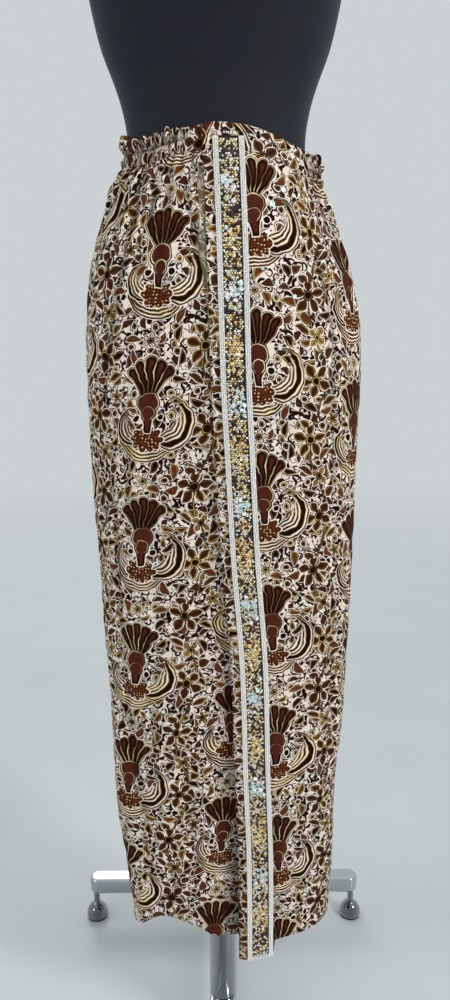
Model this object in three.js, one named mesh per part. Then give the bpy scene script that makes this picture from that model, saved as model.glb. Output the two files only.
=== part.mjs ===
// A batik wrap skirt with a beaded edge band, worn by a limbless dress form on a chromed stand.
// Units are millimetres. +Z is up and -Y is the front, so +X is on the right of someone facing it.
// The origin is on the floor, midway between the four glides of the stand.
import * as THREE from "three";

// ---- Driving dimensions -------------------------------------------------------------------------
const clothWall = 1.5; // one layer of cloth
const waistWall = 3.4; // folded waistband with elastic inside
const waistWallFlat = 2.0; // the same band where it has no elastic
const waistHeight = 25; // height of the waistband
const seamGap = 0.3; // between pieces that are set together
const sewnGap = 0.5; // between cloth pieces at a sewn seam, measured along the cloth

const bandWidth = 33; // beaded band
const bandTape = 1.2; // thickness of its tape
const bandTopDrop = 13; // its top lies this far under the top of the waistband
const ropeWidth = 6; // white beaded edging on each side of the band
const ropeHeight = 2.6;
const fieldHeight = 2.0; // bead field between the edgings
const leadStrip = 10.5; // plain cloth outside the band
const overlap = 112; // how far the under panel runs beneath the wrap panel
const recessStart = -34; // the under panel starts to sink this far outside the leading edge
const recessWidth = 30;
const flareWidth = 105; // the wrap panel stands off over this much of its width

const poleRadius = 19;
const armWidth = 30;
const spineWidth = 38;
const armHeight = 27;
const armTop = 80;
const armBevel = 5;
const glideX = 221;
const glideY = 245;
const crossbarLength = 462;
const glideRadius = 18;
const padHeight = 3;
const domeTop = 28;
const stemRadius = 5;
const flangeRadius = 45;
const flangeHeight = 8;
const neckCapHeight = 7;

// ---- Tables ---------------------------------------------------------------------------------------
// Dress form: half width, depth in front of the axis and behind it, and how square the section is.
const formRows = [
  { z: 880, half: 140, front: 92, back: 110, power: 2.35 },
  { z: 915, half: 149, front: 99, back: 117, power: 2.4 },
  { z: 975, half: 151, front: 102, back: 120, power: 2.4 },
  { z: 1020, half: 148, front: 102, back: 119, power: 2.4 },
  { z: 1060, half: 142, front: 99, back: 114, power: 2.38 },
  { z: 1090, half: 132, front: 95, back: 108, power: 2.35 },
  { z: 1120, half: 120, front: 90, back: 100, power: 2.3 },
  { z: 1145, half: 111, front: 86, back: 93, power: 2.25 },
  { z: 1165, half: 104, front: 82.8, back: 88, power: 2.2 },
  { z: 1190, half: 100.7, front: 80.6, back: 84.4, power: 2.2 },
  { z: 1215, half: 101.4, front: 79.8, back: 83.5, power: 2.2 },
  { z: 1240, half: 105.8, front: 80.8, back: 84.6, power: 2.2 },
  { z: 1264, half: 113, front: 84, back: 87, power: 2.2 },
  { z: 1305, half: 128, front: 95, back: 92.5, power: 2.2 },
  { z: 1355, half: 139, front: 112, back: 98, power: 2.2 },
  { z: 1390, half: 144, front: 116, back: 101, power: 2.2 },
  { z: 1430, half: 148, front: 107, back: 103, power: 2.2 },
  { z: 1470, half: 154, front: 93, back: 100, power: 2.2 },
  { z: 1505, half: 161, front: 79, back: 92, power: 2.2 },
  { z: 1532, half: 163, front: 68, back: 81, power: 2.15 },
  { z: 1552, half: 152, front: 60, back: 71, power: 2.1 },
  { z: 1568, half: 128, front: 54, back: 63, power: 2.05 },
  { z: 1584, half: 94, front: 50, back: 57, power: 2 },
  { z: 1602, half: 68, front: 48, back: 53, power: 2 },
  { z: 1624, half: 55, front: 47, back: 50, power: 2 },
  { z: 1665, half: 52, front: 48, back: 50, power: 2 },
];

// Skirt: outer half widths to the left and right of the axis, and depths in front and behind.
const skirtRows = [
  { z: 185, left: 118.5, right: 143.5, front: 57, back: 86, power: 2.3 },
  { z: 240, left: 123, right: 147, front: 59.5, back: 88, power: 2.35 },
  { z: 290, left: 129, right: 148.5, front: 62.5, back: 90, power: 2.4 },
  { z: 350, left: 135, right: 150.3, front: 66, back: 92, power: 2.45 },
  { z: 405, left: 137.3, right: 151.5, front: 69.5, back: 94, power: 2.5 },
  { z: 470, left: 138.8, right: 154.3, front: 73.5, back: 96, power: 2.5 },
  { z: 550, left: 141.5, right: 158.5, front: 79, back: 99, power: 2.5 },
  { z: 635, left: 144.8, right: 161.5, front: 85, back: 103, power: 2.5 },
  { z: 715, left: 147, right: 162, front: 91, back: 108, power: 2.5 },
  { z: 790, left: 150, right: 164, front: 97, back: 114, power: 2.5 },
  { z: 855, left: 153, right: 165, front: 102, back: 120, power: 2.45 },
  { z: 915, left: 155, right: 168, front: 106, back: 125, power: 2.4 },
  { z: 975, left: 155, right: 168, front: 108.5, back: 127, power: 2.4 },
  { z: 1020, left: 152, right: 164, front: 108, back: 125, power: 2.4 },
  { z: 1060, left: 147.5, right: 154.5, front: 105, back: 120, power: 2.38 },
  { z: 1090, left: 141, right: 144, front: 101, back: 114, power: 2.35 },
  { z: 1120, left: 130.5, right: 131, front: 96, back: 106, power: 2.3 },
  { z: 1145, left: 119.8, right: 120, front: 91.5, back: 98, power: 2.25 },
  { z: 1165, left: 110, right: 117.5, front: 88, back: 92.6, power: 2.2 },
  { z: 1190, left: 105, right: 115, front: 85.5, back: 89, power: 2.2 },
  { z: 1215, left: 105.8, right: 111, front: 85, back: 88, power: 2.2 },
];

// Height of the top edge. Round: 0 is centre front, 1 the right seam, 2 centre back, -1 and 3 the left.
const topRows = [
  { round: -1, z: 1204 },
  { round: -0.75, z: 1199 },
  { round: -0.5, z: 1196 },
  { round: -0.3, z: 1201 },
  { round: -0.12, z: 1206 },
  { round: 0, z: 1208.5 },
  { round: 0.27, z: 1203.5 },
  { round: 0.52, z: 1191 },
  { round: 0.67, z: 1186 },
  { round: 0.83, z: 1180.5 },
  { round: 1, z: 1176 },
  { round: 1.25, z: 1174 },
  { round: 1.6, z: 1181 },
  { round: 2, z: 1192 },
  { round: 2.5, z: 1200 },
  { round: 3, z: 1204 },
];

// Height of the hem of the under panel and of the back panel, in the same measure.
const underHemRows = [
  { round: -1, z: 208 },
  { round: -0.93, z: 210 },
  { round: -0.74, z: 221 },
  { round: -0.62, z: 235 },
  { round: -0.53, z: 243 },
  { round: -0.45, z: 242 },
  { round: -0.36, z: 237 },
  { round: -0.22, z: 228 },
  { round: -0.08, z: 218 },
  { round: 0.1, z: 212 },
];
const backHemRows = [
  { round: 1, z: 222 },
  { round: 1.5, z: 228 },
  { round: 2.2, z: 221 },
  { round: 3, z: 208 },
];

// Height of the hem of the wrap panel, by share of the way from the band to the right seam.
const wrapHemRows = [
  { share: 0, z: 214 },
  { share: 0.45, z: 216 },
  { share: 0.75, z: 220 },
  { share: 1, z: 222 },
];
const bandEndZ = 192.5;
const stripEndZ = 188; // the plain strip outside the band hangs a little lower

// Centre line of the beaded band, to the right of centre front, and how far the wrap panel's leading
// edge stands off, curls back, and how deep the under panel lies behind it.
const bandRows = [
  { z: 185, centre: 48.5, flare: 15, curl: 7, recess: 9 },
  { z: 340, centre: 47.5, flare: 11, curl: 5.5, recess: 7.5 },
  { z: 460, centre: 43.5, flare: 7.5, curl: 4, recess: 6 },
  { z: 570, centre: 41, flare: 5, curl: 3, recess: 5 },
  { z: 635, centre: 38, flare: 3.8, curl: 2.4, recess: 4.2 },
  { z: 735, centre: 30.3, flare: 2.4, curl: 1.6, recess: 3.6 },
  { z: 875, centre: 23, flare: 1.3, curl: 1.0, recess: 3 },
  { z: 937, centre: 20, flare: 1.0, curl: 0.8, recess: 2.8 },
  { z: 1104, centre: 16, flare: 0.6, curl: 0.6, recess: 2.6 },
  { z: 1215, centre: 12, flare: 0.4, curl: 0.4, recess: 2.6 },
];

// Largest folds: where round, between which heights, how far out and how wide, in mm.
const foldRows = [
  { round: -0.73, low: 150, high: 640, out: 6, wide: 24 },
  { round: -0.86, low: 420, high: 1010, out: 3, wide: 20 },
  { round: -0.47, low: 640, high: 1120, out: 2.2, wide: 17 },
  { round: -0.28, low: 150, high: 520, out: -3.5, wide: 26 },
  { round: 0.62, low: 150, high: 560, out: 3.5, wide: 26 },
  { round: 0.84, low: 300, high: 1060, out: 3, wide: 22 },
  { round: 1.3, low: 150, high: 700, out: 5, wide: 30 },
  { round: 1.62, low: 420, high: 1080, out: 3.5, wide: 24 },
  { round: 1.85, low: 150, high: 560, out: -4, wide: 30 },
  { round: 2.12, low: 150, high: 820, out: 5, wide: 30 },
  { round: 2.45, low: 380, high: 1080, out: 3, wide: 24 },
  { round: 2.72, low: 150, high: 600, out: 5, wide: 28 },
];

// ---- Finishes -----------------------------------------------------------------------------------
const batik = new THREE.MeshStandardMaterial({ color: 0x9c8674, roughness: 0.75 });
const whiteBeads = new THREE.MeshStandardMaterial({ color: 0xd9d4d2, roughness: 0.35 });
const goldBeads = new THREE.MeshStandardMaterial({ color: 0x8a6f45, roughness: 0.3, metalness: 0.5 });
const jersey = new THREE.MeshStandardMaterial({ color: 0x1b1d24, roughness: 0.85 });
const chrome = new THREE.MeshStandardMaterial({ color: 0xc4c8cc, roughness: 0.12, metalness: 1 });
const rubber = new THREE.MeshStandardMaterial({ color: 0x18191a, roughness: 0.8 });

// ---- Small helpers --------------------------------------------------------------------------------
const lerp = THREE.MathUtils.lerp;
const clamp01 = (x) => Math.min(1, Math.max(0, x));
const ease = (x) => clamp01(x) ** 2 * (3 - 2 * clamp01(x));
const steps = (count) => Array.from({ length: count + 1 }, (_, i) => i / count);

// A repeatable number from 0 to 1 for each whole number.
function scatter(index) {
  const wave = Math.sin(index * 12.9898 + 4.1) * 43758.5453;
  return wave - Math.floor(wave);
}

// Reads a smooth curve through one column of a table, at a value of its key column.
function read(rows, key, at, column) {
  const last = rows.length - 1;
  if (at <= rows[0][key]) return rows[0][column];
  if (at >= rows[last][key]) return rows[last][column];
  const i = rows.findIndex((row) => row[key] > at) - 1;
  const slope = (a, b) => (rows[b][column] - rows[a][column]) / (rows[b][key] - rows[a][key]);
  const width = rows[i + 1][key] - rows[i][key];
  const u = (at - rows[i][key]) / width;
  const startSlope = slope(Math.max(0, i - 1), i + 1) * width;
  const endSlope = slope(i, Math.min(last, i + 2)) * width;
  return (
    rows[i][column] * (1 + 2 * u) * (1 - u) ** 2 +
    startSlope * u * (1 - u) ** 2 +
    rows[i + 1][column] * u * u * (3 - 2 * u) +
    endSlope * u * u * (u - 1)
  );
}

// ---- Sections -------------------------------------------------------------------------------------
// A section is a rounded oval. Angle 0 is centre front, a quarter turn is its right-hand side.
function ovalPoint(oval, angle) {
  const bend = 2 / oval.power;
  const side = Math.sin(angle);
  const ahead = Math.cos(angle);
  const half = side > 0 ? oval.right : oval.left;
  const depth = ahead > 0 ? oval.front : oval.back;
  return new THREE.Vector2(
    half * Math.sign(side) * Math.abs(side) ** bend,
    -depth * Math.sign(ahead) * Math.abs(ahead) ** bend,
  );
}

// The skirt's section at a height, with the length of cloth along each quarter.
const quarterSteps = 40;
const sections = new Map();
function skirtSection(z) {
  const key = z.toFixed(2);
  if (!sections.has(key)) {
    const oval = { z };
    for (const column of ["left", "right", "front", "back", "power"]) {
      oval[column] = read(skirtRows, "z", z, column);
    }
    // Quarters run front to right, right to back, back to left and left to front.
    const quarters = [0, 1, 2, 3].map((quarter) => {
      const points = steps(quarterSteps).map((u) => ovalPoint(oval, ((quarter + u) * Math.PI) / 2));
      const along = [0];
      points.slice(1).forEach((p, i) => along.push(along[i] + p.distanceTo(points[i])));
      return { points, along, length: along[quarterSteps] };
    });
    sections.set(key, quarters);
  }
  return sections.get(key);
}

// Point on the skirt's outer face at a place round it and a height, moved out by a distance.
function skirtPoint(round, z, out) {
  const wrapped = (round + 4) % 4;
  const quarter = Math.min(3, Math.floor(wrapped));
  const { points, along, length } = skirtSection(z)[quarter];
  const target = (wrapped - quarter) * length;
  let i = along.findIndex((distance) => distance >= target) - 1;
  i = Math.max(0, i);
  const u = (target - along[i]) / (along[i + 1] - along[i]);
  const at = points[i].clone().lerp(points[i + 1], u);
  const tangent = points[Math.min(i + 2, quarterSteps)].clone().sub(points[Math.max(0, i - 1)]);
  const normal = new THREE.Vector2(tangent.y, -tangent.x).normalize();
  at.addScaledVector(normal, out);
  return new THREE.Vector3(at.x, at.y, z);
}

const frontRight = (z) => skirtSection(z)[0].length; // centre front to the right seam
const frontLeft = (z) => skirtSection(z)[3].length;

// Distance from centre front to a place on the front, as a share of its quarter.
const roundFromCentre = (distance, z) => distance / (distance > 0 ? frontRight(z) : frontLeft(z));

const bandCentre = (z) => read(bandRows, "z", z, "centre");
const leadingEdge = (z) => bandCentre(z) - bandWidth / 2 - leadStrip;
const topAt = (round) => read(topRows, "round", round, "z");
const seamAt = (round) => topAt(round) - waistHeight;

// Sum of the largest folds at a place.
function foldsAt(round, z) {
  let out = 0;
  for (const fold of foldRows) {
    const quarter = Math.min(3, Math.floor((fold.round + 4) % 4));
    const away = ((round - fold.round) * skirtSection(z)[quarter].length) / fold.wide;
    const middle = (fold.high + fold.low) / 2;
    const reach = (fold.high - fold.low) / 2;
    const level = fold.low < 200 && z < middle ? 1 : ease(1.25 - Math.abs(z - middle) / reach);
    out += fold.out * Math.exp(-away * away) * level;
  }
  return out;
}

// How far the under panel sinks behind the wrap panel's leading edge.
function recessAt(distance, z) {
  const past = distance - leadingEdge(z);
  return read(bandRows, "z", z, "recess") * ease((past - recessStart) / recessWidth);
}

// How far the wrap panel stands off near its leading edge, with the edge itself curling back.
function flareAt(past, z) {
  const curl = read(bandRows, "z", z, "curl") * (1 - clamp01(past / leadStrip)) ** 1.5;
  return read(bandRows, "z", z, "flare") * ease(1 - past / flareWidth) - curl;
}

// ---- Closed meshes --------------------------------------------------------------------------------
// Joins two lines of points with a strip of triangles. Each line is a list of { t, p }.
function zip(first, second, faces) {
  let i = 0;
  let j = 0;
  while (i < first.length - 1 || j < second.length - 1) {
    const stepFirst = j === second.length - 1 ||
      (i < first.length - 1 && first[i + 1].t <= second[j + 1].t);
    if (stepFirst) {
      faces.push([first[i].p, first[i + 1].p, second[j].p]);
      i += 1;
    } else {
      faces.push([first[i].p, second[j + 1].p, second[j].p]);
      j += 1;
    }
  }
}

function geometryOf(faces) {
  const volume = faces.reduce((sum, [a, b, c]) => sum + a.dot(b.clone().cross(c)), 0);
  const positions = faces.flatMap(([a, b, c]) =>
    (volume > 0 ? [a, b, c] : [a, c, b]).flatMap((p) => [p.x, p.y, p.z]),
  );
  return new THREE.BufferGeometry().setAttribute(
    "position",
    new THREE.Float32BufferAttribute(positions, 3),
  );
}

// A wall from rows of outer points and rows of inner points. Rows may differ in how many points they have.
function wallGeometry(outer, inner) {
  const faces = [];
  const last = outer.length - 1;
  const side = (rows, pick) => rows.map((row, i) => ({ t: i, p: row[pick(row)].p }));
  for (let i = 0; i < last; i += 1) {
    zip(outer[i], outer[i + 1], faces);
    zip(inner[i + 1], inner[i], faces);
  }
  zip(inner[0], outer[0], faces);
  zip(outer[last], inner[last], faces);
  zip(side(outer, () => 0), side(inner, () => 0), faces);
  zip(side(inner, (row) => row.length - 1), side(outer, (row) => row.length - 1), faces);
  return geometryOf(faces);
}

// A closed body from level rings, with flat ends.
function loftGeometry(rings) {
  const faces = [];
  const count = rings[0].length;
  const next = (i) => (i + 1) % count;
  rings.slice(1).forEach((ring, r) => {
    for (let i = 0; i < count; i += 1) {
      faces.push([rings[r][i], rings[r][next(i)], ring[next(i)]]);
      faces.push([rings[r][i], ring[next(i)], ring[i]]);
    }
  });
  for (const [ring, turn] of [[rings[0], true], [rings[rings.length - 1], false]]) {
    const middle = ring.reduce((sum, p) => sum.add(p), new THREE.Vector3()).divideScalar(count);
    for (let i = 0; i < count; i += 1) {
      faces.push(turn ? [middle, ring[next(i)], ring[i]] : [middle, ring[i], ring[next(i)]]);
    }
  }
  return geometryOf(faces);
}

function addMesh(parent, name, geometry, material) {
  const mesh = new THREE.Mesh(geometry, material);
  mesh.name = name;
  parent.add(mesh);
  return mesh;
}

// ---- Skirt panels -----------------------------------------------------------------------------------
const waistZ = 1190; // heights at which places round the waist and round the hem are worked out
const hemZ = 220;
const gatherDrops = [0, 12, 28, 46, 66]; // rows of the gathered stretch under the waist seam
const gatherDepth = 2.4;
const underGathered = 0.54; // share of the under panel's width that is gathered, from the left seam
const wrapGathered = 0.55; // the wrap panel is gathered from this share of its width to the right seam
const lowerRows = 12;

const gatherReach = gatherDrops[gatherDrops.length - 1];

// Heights of a panel's rows, from its top edge to its hem.
const panelHeights = (top, hem) => [
  ...gatherDrops.map((drop) => top - drop),
  ...steps(lowerRows).slice(1).map((u) => lerp(top - gatherReach, hem, u)),
];

// Rows of points for one panel. place(column, z, out) gives a point, edges(column) its top and hem.
function panelRows(columns, fineColumns, place, edges, outAt, gatherAt) {
  const line = (from, row, offset) => from.map((column, i) => {
    const { top, hem } = edges(column);
    const z = panelHeights(top, hem)[row];
    return { t: column.t, p: place(column, z, outAt(column, z) + offset(column, i)) };
  });
  const rowCount = gatherDrops.length + lowerRows;
  const outer = [];
  const inner = [];
  for (let row = 0; row < rowCount; row += 1) {
    const gathered = row < gatherDrops.length;
    const fade = gathered ? 1 - gatherDrops[row] / gatherReach : 0;
    const ridge = (column, i) => (i % 2) * fade * gatherAt(column) * (0.6 + 0.8 * scatter(i + 7));
    outer.push(line(gathered ? fineColumns : columns, row, ridge));
    inner.push(line(columns, row, () => -clothWall));
  }
  return [outer, inner];
}

const columnsOver = (count) => steps(count).map((t) => ({ t }));

// Under panel: from the left seam to its hidden edge beneath the wrap panel.
function underPanel(parent) {
  const distance = (column, z) => {
    const start = -frontLeft(z) + sewnGap / 2;
    return lerp(start, leadingEdge(z) + overlap, column.t);
  };
  const round = (column, z) => roundFromCentre(distance(column, z), z);
  const edges = (column) => ({
    top: seamAt(round(column, waistZ)) - sewnGap,
    hem: read(underHemRows, "round", round(column, hemZ), "z"),
  });
  const place = (column, z, out) => skirtPoint(round(column, z), z, out);
  const outAt = (column, z) => {
    const at = distance(column, z);
    const hidden = ease((at - leadingEdge(z)) / recessWidth);
    return foldsAt(round(column, z), z) * (1 - hidden) - recessAt(at, z);
  };
  const gatherAt = (column) => (column.t < underGathered ? gatherDepth : 0);
  const [outer, inner] = panelRows(
    columnsOver(26), columnsOver(50), place, edges, outAt, gatherAt,
  );
  addMesh(parent, "under_panel", wallGeometry(outer, inner), batik);
}

// Wrap panel: its first columns follow the band at fixed distances, the rest share the way to the seam.
const bandColumns = [0, 4.5, leadStrip, 21, 32, leadStrip + bandWidth, 46.5];
const besideBand = bandColumns[bandColumns.length - 1];

function wrapDistance(column, z) {
  const rest = frontRight(z) - sewnGap / 2 - leadingEdge(z) - besideBand;
  return leadingEdge(z) + column.mm + column.share * rest;
}

function wrapPoint(column, z, out) {
  const distance = wrapDistance(column, z);
  const round = roundFromCentre(distance, z);
  const lift = flareAt(distance - leadingEdge(z), z);
  const folds = foldsAt(round, z) * ease(column.share * 4);
  return skirtPoint(round, z, out + lift + folds);
}

function wrapColumns(shareCount) {
  const bandPart = 0.3; // share of the columns' count taken by the band
  const fixed = bandColumns.map((mm) => ({ mm, share: 0, t: (mm / besideBand) * bandPart }));
  const free = steps(shareCount).slice(1).map((share) => {
    return { mm: besideBand, share, t: lerp(bandPart, 1, share) };
  });
  return [...fixed, ...free];
}

function wrapEdges(column) {
  const round = roundFromCentre(wrapDistance(column, waistZ), waistZ);
  const bandHem = lerp(stripEndZ, bandEndZ, clamp01(column.mm / leadStrip));
  const onBand = column.mm < besideBand;
  return {
    top: seamAt(round) - sewnGap,
    hem: onBand ? bandHem : read(wrapHemRows, "share", column.share, "z"),
  };
}

function wrapPanel(parent) {
  const gatherAt = (column) => gatherDepth * ease((column.share - wrapGathered) * 8);
  const [outer, inner] = panelRows(
    wrapColumns(15), wrapColumns(30), wrapPoint, wrapEdges, () => 0, gatherAt,
  );
  addMesh(parent, "wrap_panel", wallGeometry(outer, inner), batik);
}

// Back panel: from the right seam round the back to the left seam.
function backPanel(parent) {
  const round = (column, z) => {
    const margin = sewnGap / 2 / skirtSection(z)[1].length;
    return lerp(1 + margin, 3 - margin, column.t);
  };
  const edges = (column) => ({
    top: seamAt(1 + 2 * column.t) - sewnGap,
    hem: read(backHemRows, "round", 1 + 2 * column.t, "z"),
  });
  const place = (column, z, out) => skirtPoint(round(column, z), z, out);
  const outAt = (column, z) => foldsAt(round(column, z), z);
  const [outer, inner] = panelRows(
    columnsOver(34), columnsOver(68), place, edges, outAt, () => gatherDepth,
  );
  addMesh(parent, "back_panel", wallGeometry(outer, inner), batik);
}

// ---- Waistband ------------------------------------------------------------------------------------
const waistLevels = [0, 0.3, 0.62, 0.86, 1]; // from the seam to the top edge
const puffLevels = [0.3, 1.9, 1.1, 1.7, 0.4]; // how far the gathered casing swells at each level
const ruffleTop = 1.8; // how far ridges of the heading stand above the top edge

// One piece of waistband. spec gives its ends round the skirt, its wall, where it is gathered and sunk.
function waistPiece(parent, name, spec) {
  const lineAt = (count, level, face) => steps(count).map((t, i) => {
    const round = lerp(spec.from, spec.to, t);
    const ridge = i % 2 === 1 ? spec.gathered(t) * (0.5 + scatter(i + spec.seed)) : 0;
    const rise = face === "outer" && level === 1 ? ridge * ruffleTop : 0;
    const z = lerp(seamAt(round), topAt(round), level) + rise;
    const puff = puffLevels[waistLevels.indexOf(level)] * ridge;
    const out = face === "outer" ? puff - spec.sunk(t) : -spec.wall(t) - spec.sunk(t);
    return { t, p: skirtPoint(round, z, out) };
  });
  const outer = [...waistLevels].reverse().map((level) => lineAt(spec.ridges * 2, level, "outer"));
  const inner = [...waistLevels].reverse().map((level) => lineAt(spec.plain, level, "inner"));
  addMesh(parent, name, wallGeometry(outer, inner), batik);
}

const waistLead = roundFromCentre(leadingEdge(waistZ), waistZ);
const flatEnd = 0.6; // the flat stretch of the waistband ends here, and the elastic starts

function waistband(parent) {
  const underEnd = roundFromCentre(leadingEdge(waistZ) + overlap, waistZ);
  const hiddenFrom = (waistLead + 1) / (underEnd + 1);
  const margin = sewnGap / 2 / frontLeft(waistZ);
  const sunkUnder = (t) => 2.9 * ease((t - hiddenFrom + 0.12) / 0.1);
  waistPiece(parent, "waistband_under", {
    from: -1 + margin,
    to: underEnd,
    ridges: 24,
    plain: 22,
    seed: 3,
    gathered: (t) => 1 - ease((t - hiddenFrom + 0.13) / 0.06),
    wall: (t) => lerp(waistWall, clothWall, ease((t - hiddenFrom + 0.12) / 0.1)),
    sunk: sunkUnder,
  });
  waistPiece(parent, "waistband_front", {
    from: waistLead,
    to: flatEnd - margin,
    ridges: 6,
    plain: 12,
    seed: 40,
    gathered: () => 0,
    wall: () => waistWallFlat,
    sunk: () => 0,
  });
  waistPiece(parent, "waistband_back", {
    from: flatEnd + margin,
    to: 3 - margin,
    ridges: 40,
    plain: 40,
    seed: 71,
    gathered: (t) => ease(t * 14),
    wall: (t) => lerp(waistWallFlat, waistWall, ease(t * 5 - 1)),
    sunk: () => 0,
  });
}

// ---- Beaded band ------------------------------------------------------------------------------------
// A strip lying on the wrap panel and the waistband, with rows where the panel has them. Its profile
// is a list of { mm, out } from its left to its right edge.
function bandStrip(parent, name, profile, floorOut, material) {
  const bandTop = topAt(roundFromCentre(bandCentre(waistZ), waistZ)) - bandTopDrop;
  const row = (index, pick) => profile.map((place, i) => {
    const column = { mm: place.mm, share: 0 };
    const { top, hem } = wrapEdges(column);
    const heights = [bandTop, ...panelHeights(top, hem)];
    return { t: i, p: wrapPoint(column, heights[index], pick(place)) };
  });
  const rows = [...Array(1 + gatherDrops.length + lowerRows).keys()];
  const outer = rows.map((index) => row(index, (place) => place.out));
  const inner = rows.map((index) => row(index, () => floorOut));
  addMesh(parent, name, wallGeometry(outer, inner), material);
}

// Heights across a strip that is raised in the middle.
function crownedProfile(from, width, base, height, count) {
  return steps(count).map((u) => ({
    mm: from + width * u,
    out: base + height * (0.35 + 0.65 * Math.sin(Math.PI * u)),
  }));
}

function beadedBand(parent) {
  const tapeFloor = 0.4; // clears the panel's facets as well
  const tapeTop = tapeFloor + bandTape;
  const beadFloor = tapeTop + seamGap;
  const left = leadStrip;
  const right = leadStrip + bandWidth;
  const fieldWidth = bandWidth - 2 * ropeWidth - 2 * seamGap;
  const tape = bandColumns.filter((mm) => mm >= left && mm <= right).map((mm) => ({ mm, out: tapeTop }));
  bandStrip(parent, "band_tape", tape, tapeFloor, whiteBeads);
  const rope = (from) => crownedProfile(from, ropeWidth, beadFloor, ropeHeight, 3);
  bandStrip(parent, "band_edging_left", rope(left), beadFloor, whiteBeads);
  bandStrip(parent, "band_edging_right", rope(right - ropeWidth), beadFloor, whiteBeads);
  const field = crownedProfile(left + ropeWidth + seamGap, fieldWidth, beadFloor, fieldHeight, 4);
  bandStrip(parent, "band_bead_field", field, beadFloor, goldBeads);
}

// ---- Dress form and stand ---------------------------------------------------------------------------
function dressForm(parent) {
  const around = 38;
  const ringAt = (z) => {
    const half = read(formRows, "z", z, "half");
    const oval = {
      left: half,
      right: half,
      front: read(formRows, "z", z, "front"),
      back: read(formRows, "z", z, "back"),
      power: read(formRows, "z", z, "power"),
    };
    return steps(around).slice(1).map((u) => {
      const at = ovalPoint(oval, u * 2 * Math.PI);
      return new THREE.Vector3(at.x, at.y, z);
    });
  };
  addMesh(parent, "form_torso", loftGeometry(formRows.map((row) => ringAt(row.z))), jersey);
  const neck = formRows[formRows.length - 1];
  const cap = new THREE.CylinderGeometry(neck.half - 2, neck.half - 2, neckCapHeight, 32);
  const capMesh = addMesh(parent, "neck_cap", cap.rotateX(Math.PI / 2), jersey);
  capMesh.position.set(0, (neck.back - neck.front) / 2, neck.z + seamGap + neckCapHeight / 2);
}

// A bar with rounded long edges and ends, lying along X.
function crossbarGeometry() {
  const half = crossbarLength / 2 - armWidth / 2;
  const radius = armWidth / 2 - armBevel;
  const plan = new THREE.Shape();
  plan.absarc(half, 0, radius, -Math.PI / 2, Math.PI / 2, false);
  plan.absarc(-half, 0, radius, Math.PI / 2, (3 * Math.PI) / 2, false);
  return new THREE.ExtrudeGeometry(plan, {
    depth: armHeight - 2 * armBevel,
    bevelThickness: armBevel,
    bevelSize: armBevel,
    bevelSegments: 2,
    curveSegments: 8,
  });
}

function spineGeometry() {
  const corner = 4;
  const halfWidth = spineWidth / 2 - corner;
  const halfHeight = armHeight / 2 - corner;
  const section = new THREE.Shape();
  const corners = [[1, -1], [1, 1], [-1, 1], [-1, -1]];
  corners.forEach(([x, y], i) => {
    const start = ((i - 1) * Math.PI) / 2;
    section.absarc(x * halfWidth, y * halfHeight, corner, start, start + Math.PI / 2, false);
  });
  const length = 2 * glideY - armWidth - 2 * seamGap;
  const bar = new THREE.ExtrudeGeometry(section, { depth: length, bevelEnabled: false, curveSegments: 3 });
  return bar.translate(0, 0, -length / 2).rotateX(Math.PI / 2);
}

// Chromed bell glide with its stem, turned about its own axis.
function glideGeometry() {
  const base = padHeight + seamGap;
  const dome = steps(4).map((u) => {
    const angle = (u * 70 * Math.PI) / 180;
    return new THREE.Vector2(glideRadius * Math.cos(angle), base + 4 + (domeTop - base - 4) * Math.sin(angle));
  });
  const stemTop = armTop - armHeight - seamGap;
  const profile = [
    new THREE.Vector2(0, base),
    new THREE.Vector2(glideRadius - 1, base),
    ...dome,
    new THREE.Vector2(stemRadius, domeTop),
    new THREE.Vector2(stemRadius, stemTop),
    new THREE.Vector2(0, stemTop),
  ];
  return new THREE.LatheGeometry(profile, 16).rotateX(Math.PI / 2);
}

function stand(parent) {
  for (const [place, side] of [["front", -1], ["rear", 1]]) {
    const bar = addMesh(parent, `crossbar_${place}`, crossbarGeometry(), chrome);
    bar.position.set(0, side * glideY, armTop - armHeight + armBevel);
    for (const [hand, across] of [["left", -1], ["right", 1]]) {
      const glide = addMesh(parent, `glide_${place}_${hand}`, glideGeometry(), chrome);
      glide.position.set(across * glideX, side * glideY, 0);
      const disc = new THREE.CylinderGeometry(glideRadius - 1.5, glideRadius - 1.5, padHeight, 20);
      const pad = addMesh(parent, `glide_pad_${place}_${hand}`, disc.rotateX(Math.PI / 2), rubber);
      pad.position.set(across * glideX, side * glideY, padHeight / 2);
    }
  }
  const spine = addMesh(parent, "spine", spineGeometry(), chrome);
  spine.position.z = armTop - armHeight / 2;

  const formBottom = formRows[0].z;
  const flangeTop = formBottom - seamGap;
  const poleBottom = armTop + seamGap;
  const poleTop = flangeTop - flangeHeight - seamGap;
  const tube = new THREE.CylinderGeometry(poleRadius, poleRadius, poleTop - poleBottom, 32);
  const pole = addMesh(parent, "pole", tube.rotateX(Math.PI / 2), chrome);
  pole.position.z = (poleBottom + poleTop) / 2;
  const disc = new THREE.CylinderGeometry(flangeRadius, flangeRadius, flangeHeight, 32);
  const flange = addMesh(parent, "pole_flange", disc.rotateX(Math.PI / 2), chrome);
  flange.position.z = flangeTop - flangeHeight / 2;
}

// ---- Whole object -----------------------------------------------------------------------------------
const part = new THREE.Group();
underPanel(part);
wrapPanel(part);
backPanel(part);
waistband(part);
beadedBand(part);
dressForm(part);
stand(part);

export default part;
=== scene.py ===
# %% [markdown]
# # A batik wrap skirt on a dress form
#
# The skirt is three pieces of printed cotton: an under panel on the left, a wrap panel that crosses it
# with a beaded edge, and a back panel. All three hang from a gathered waistband, and a dark dress form
# on a chromed stand wears them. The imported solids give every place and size; this lesson dresses them.
# Lengths are in millimetres until a mesh is written, because that is how a tailor thinks.

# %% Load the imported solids
import math

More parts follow.
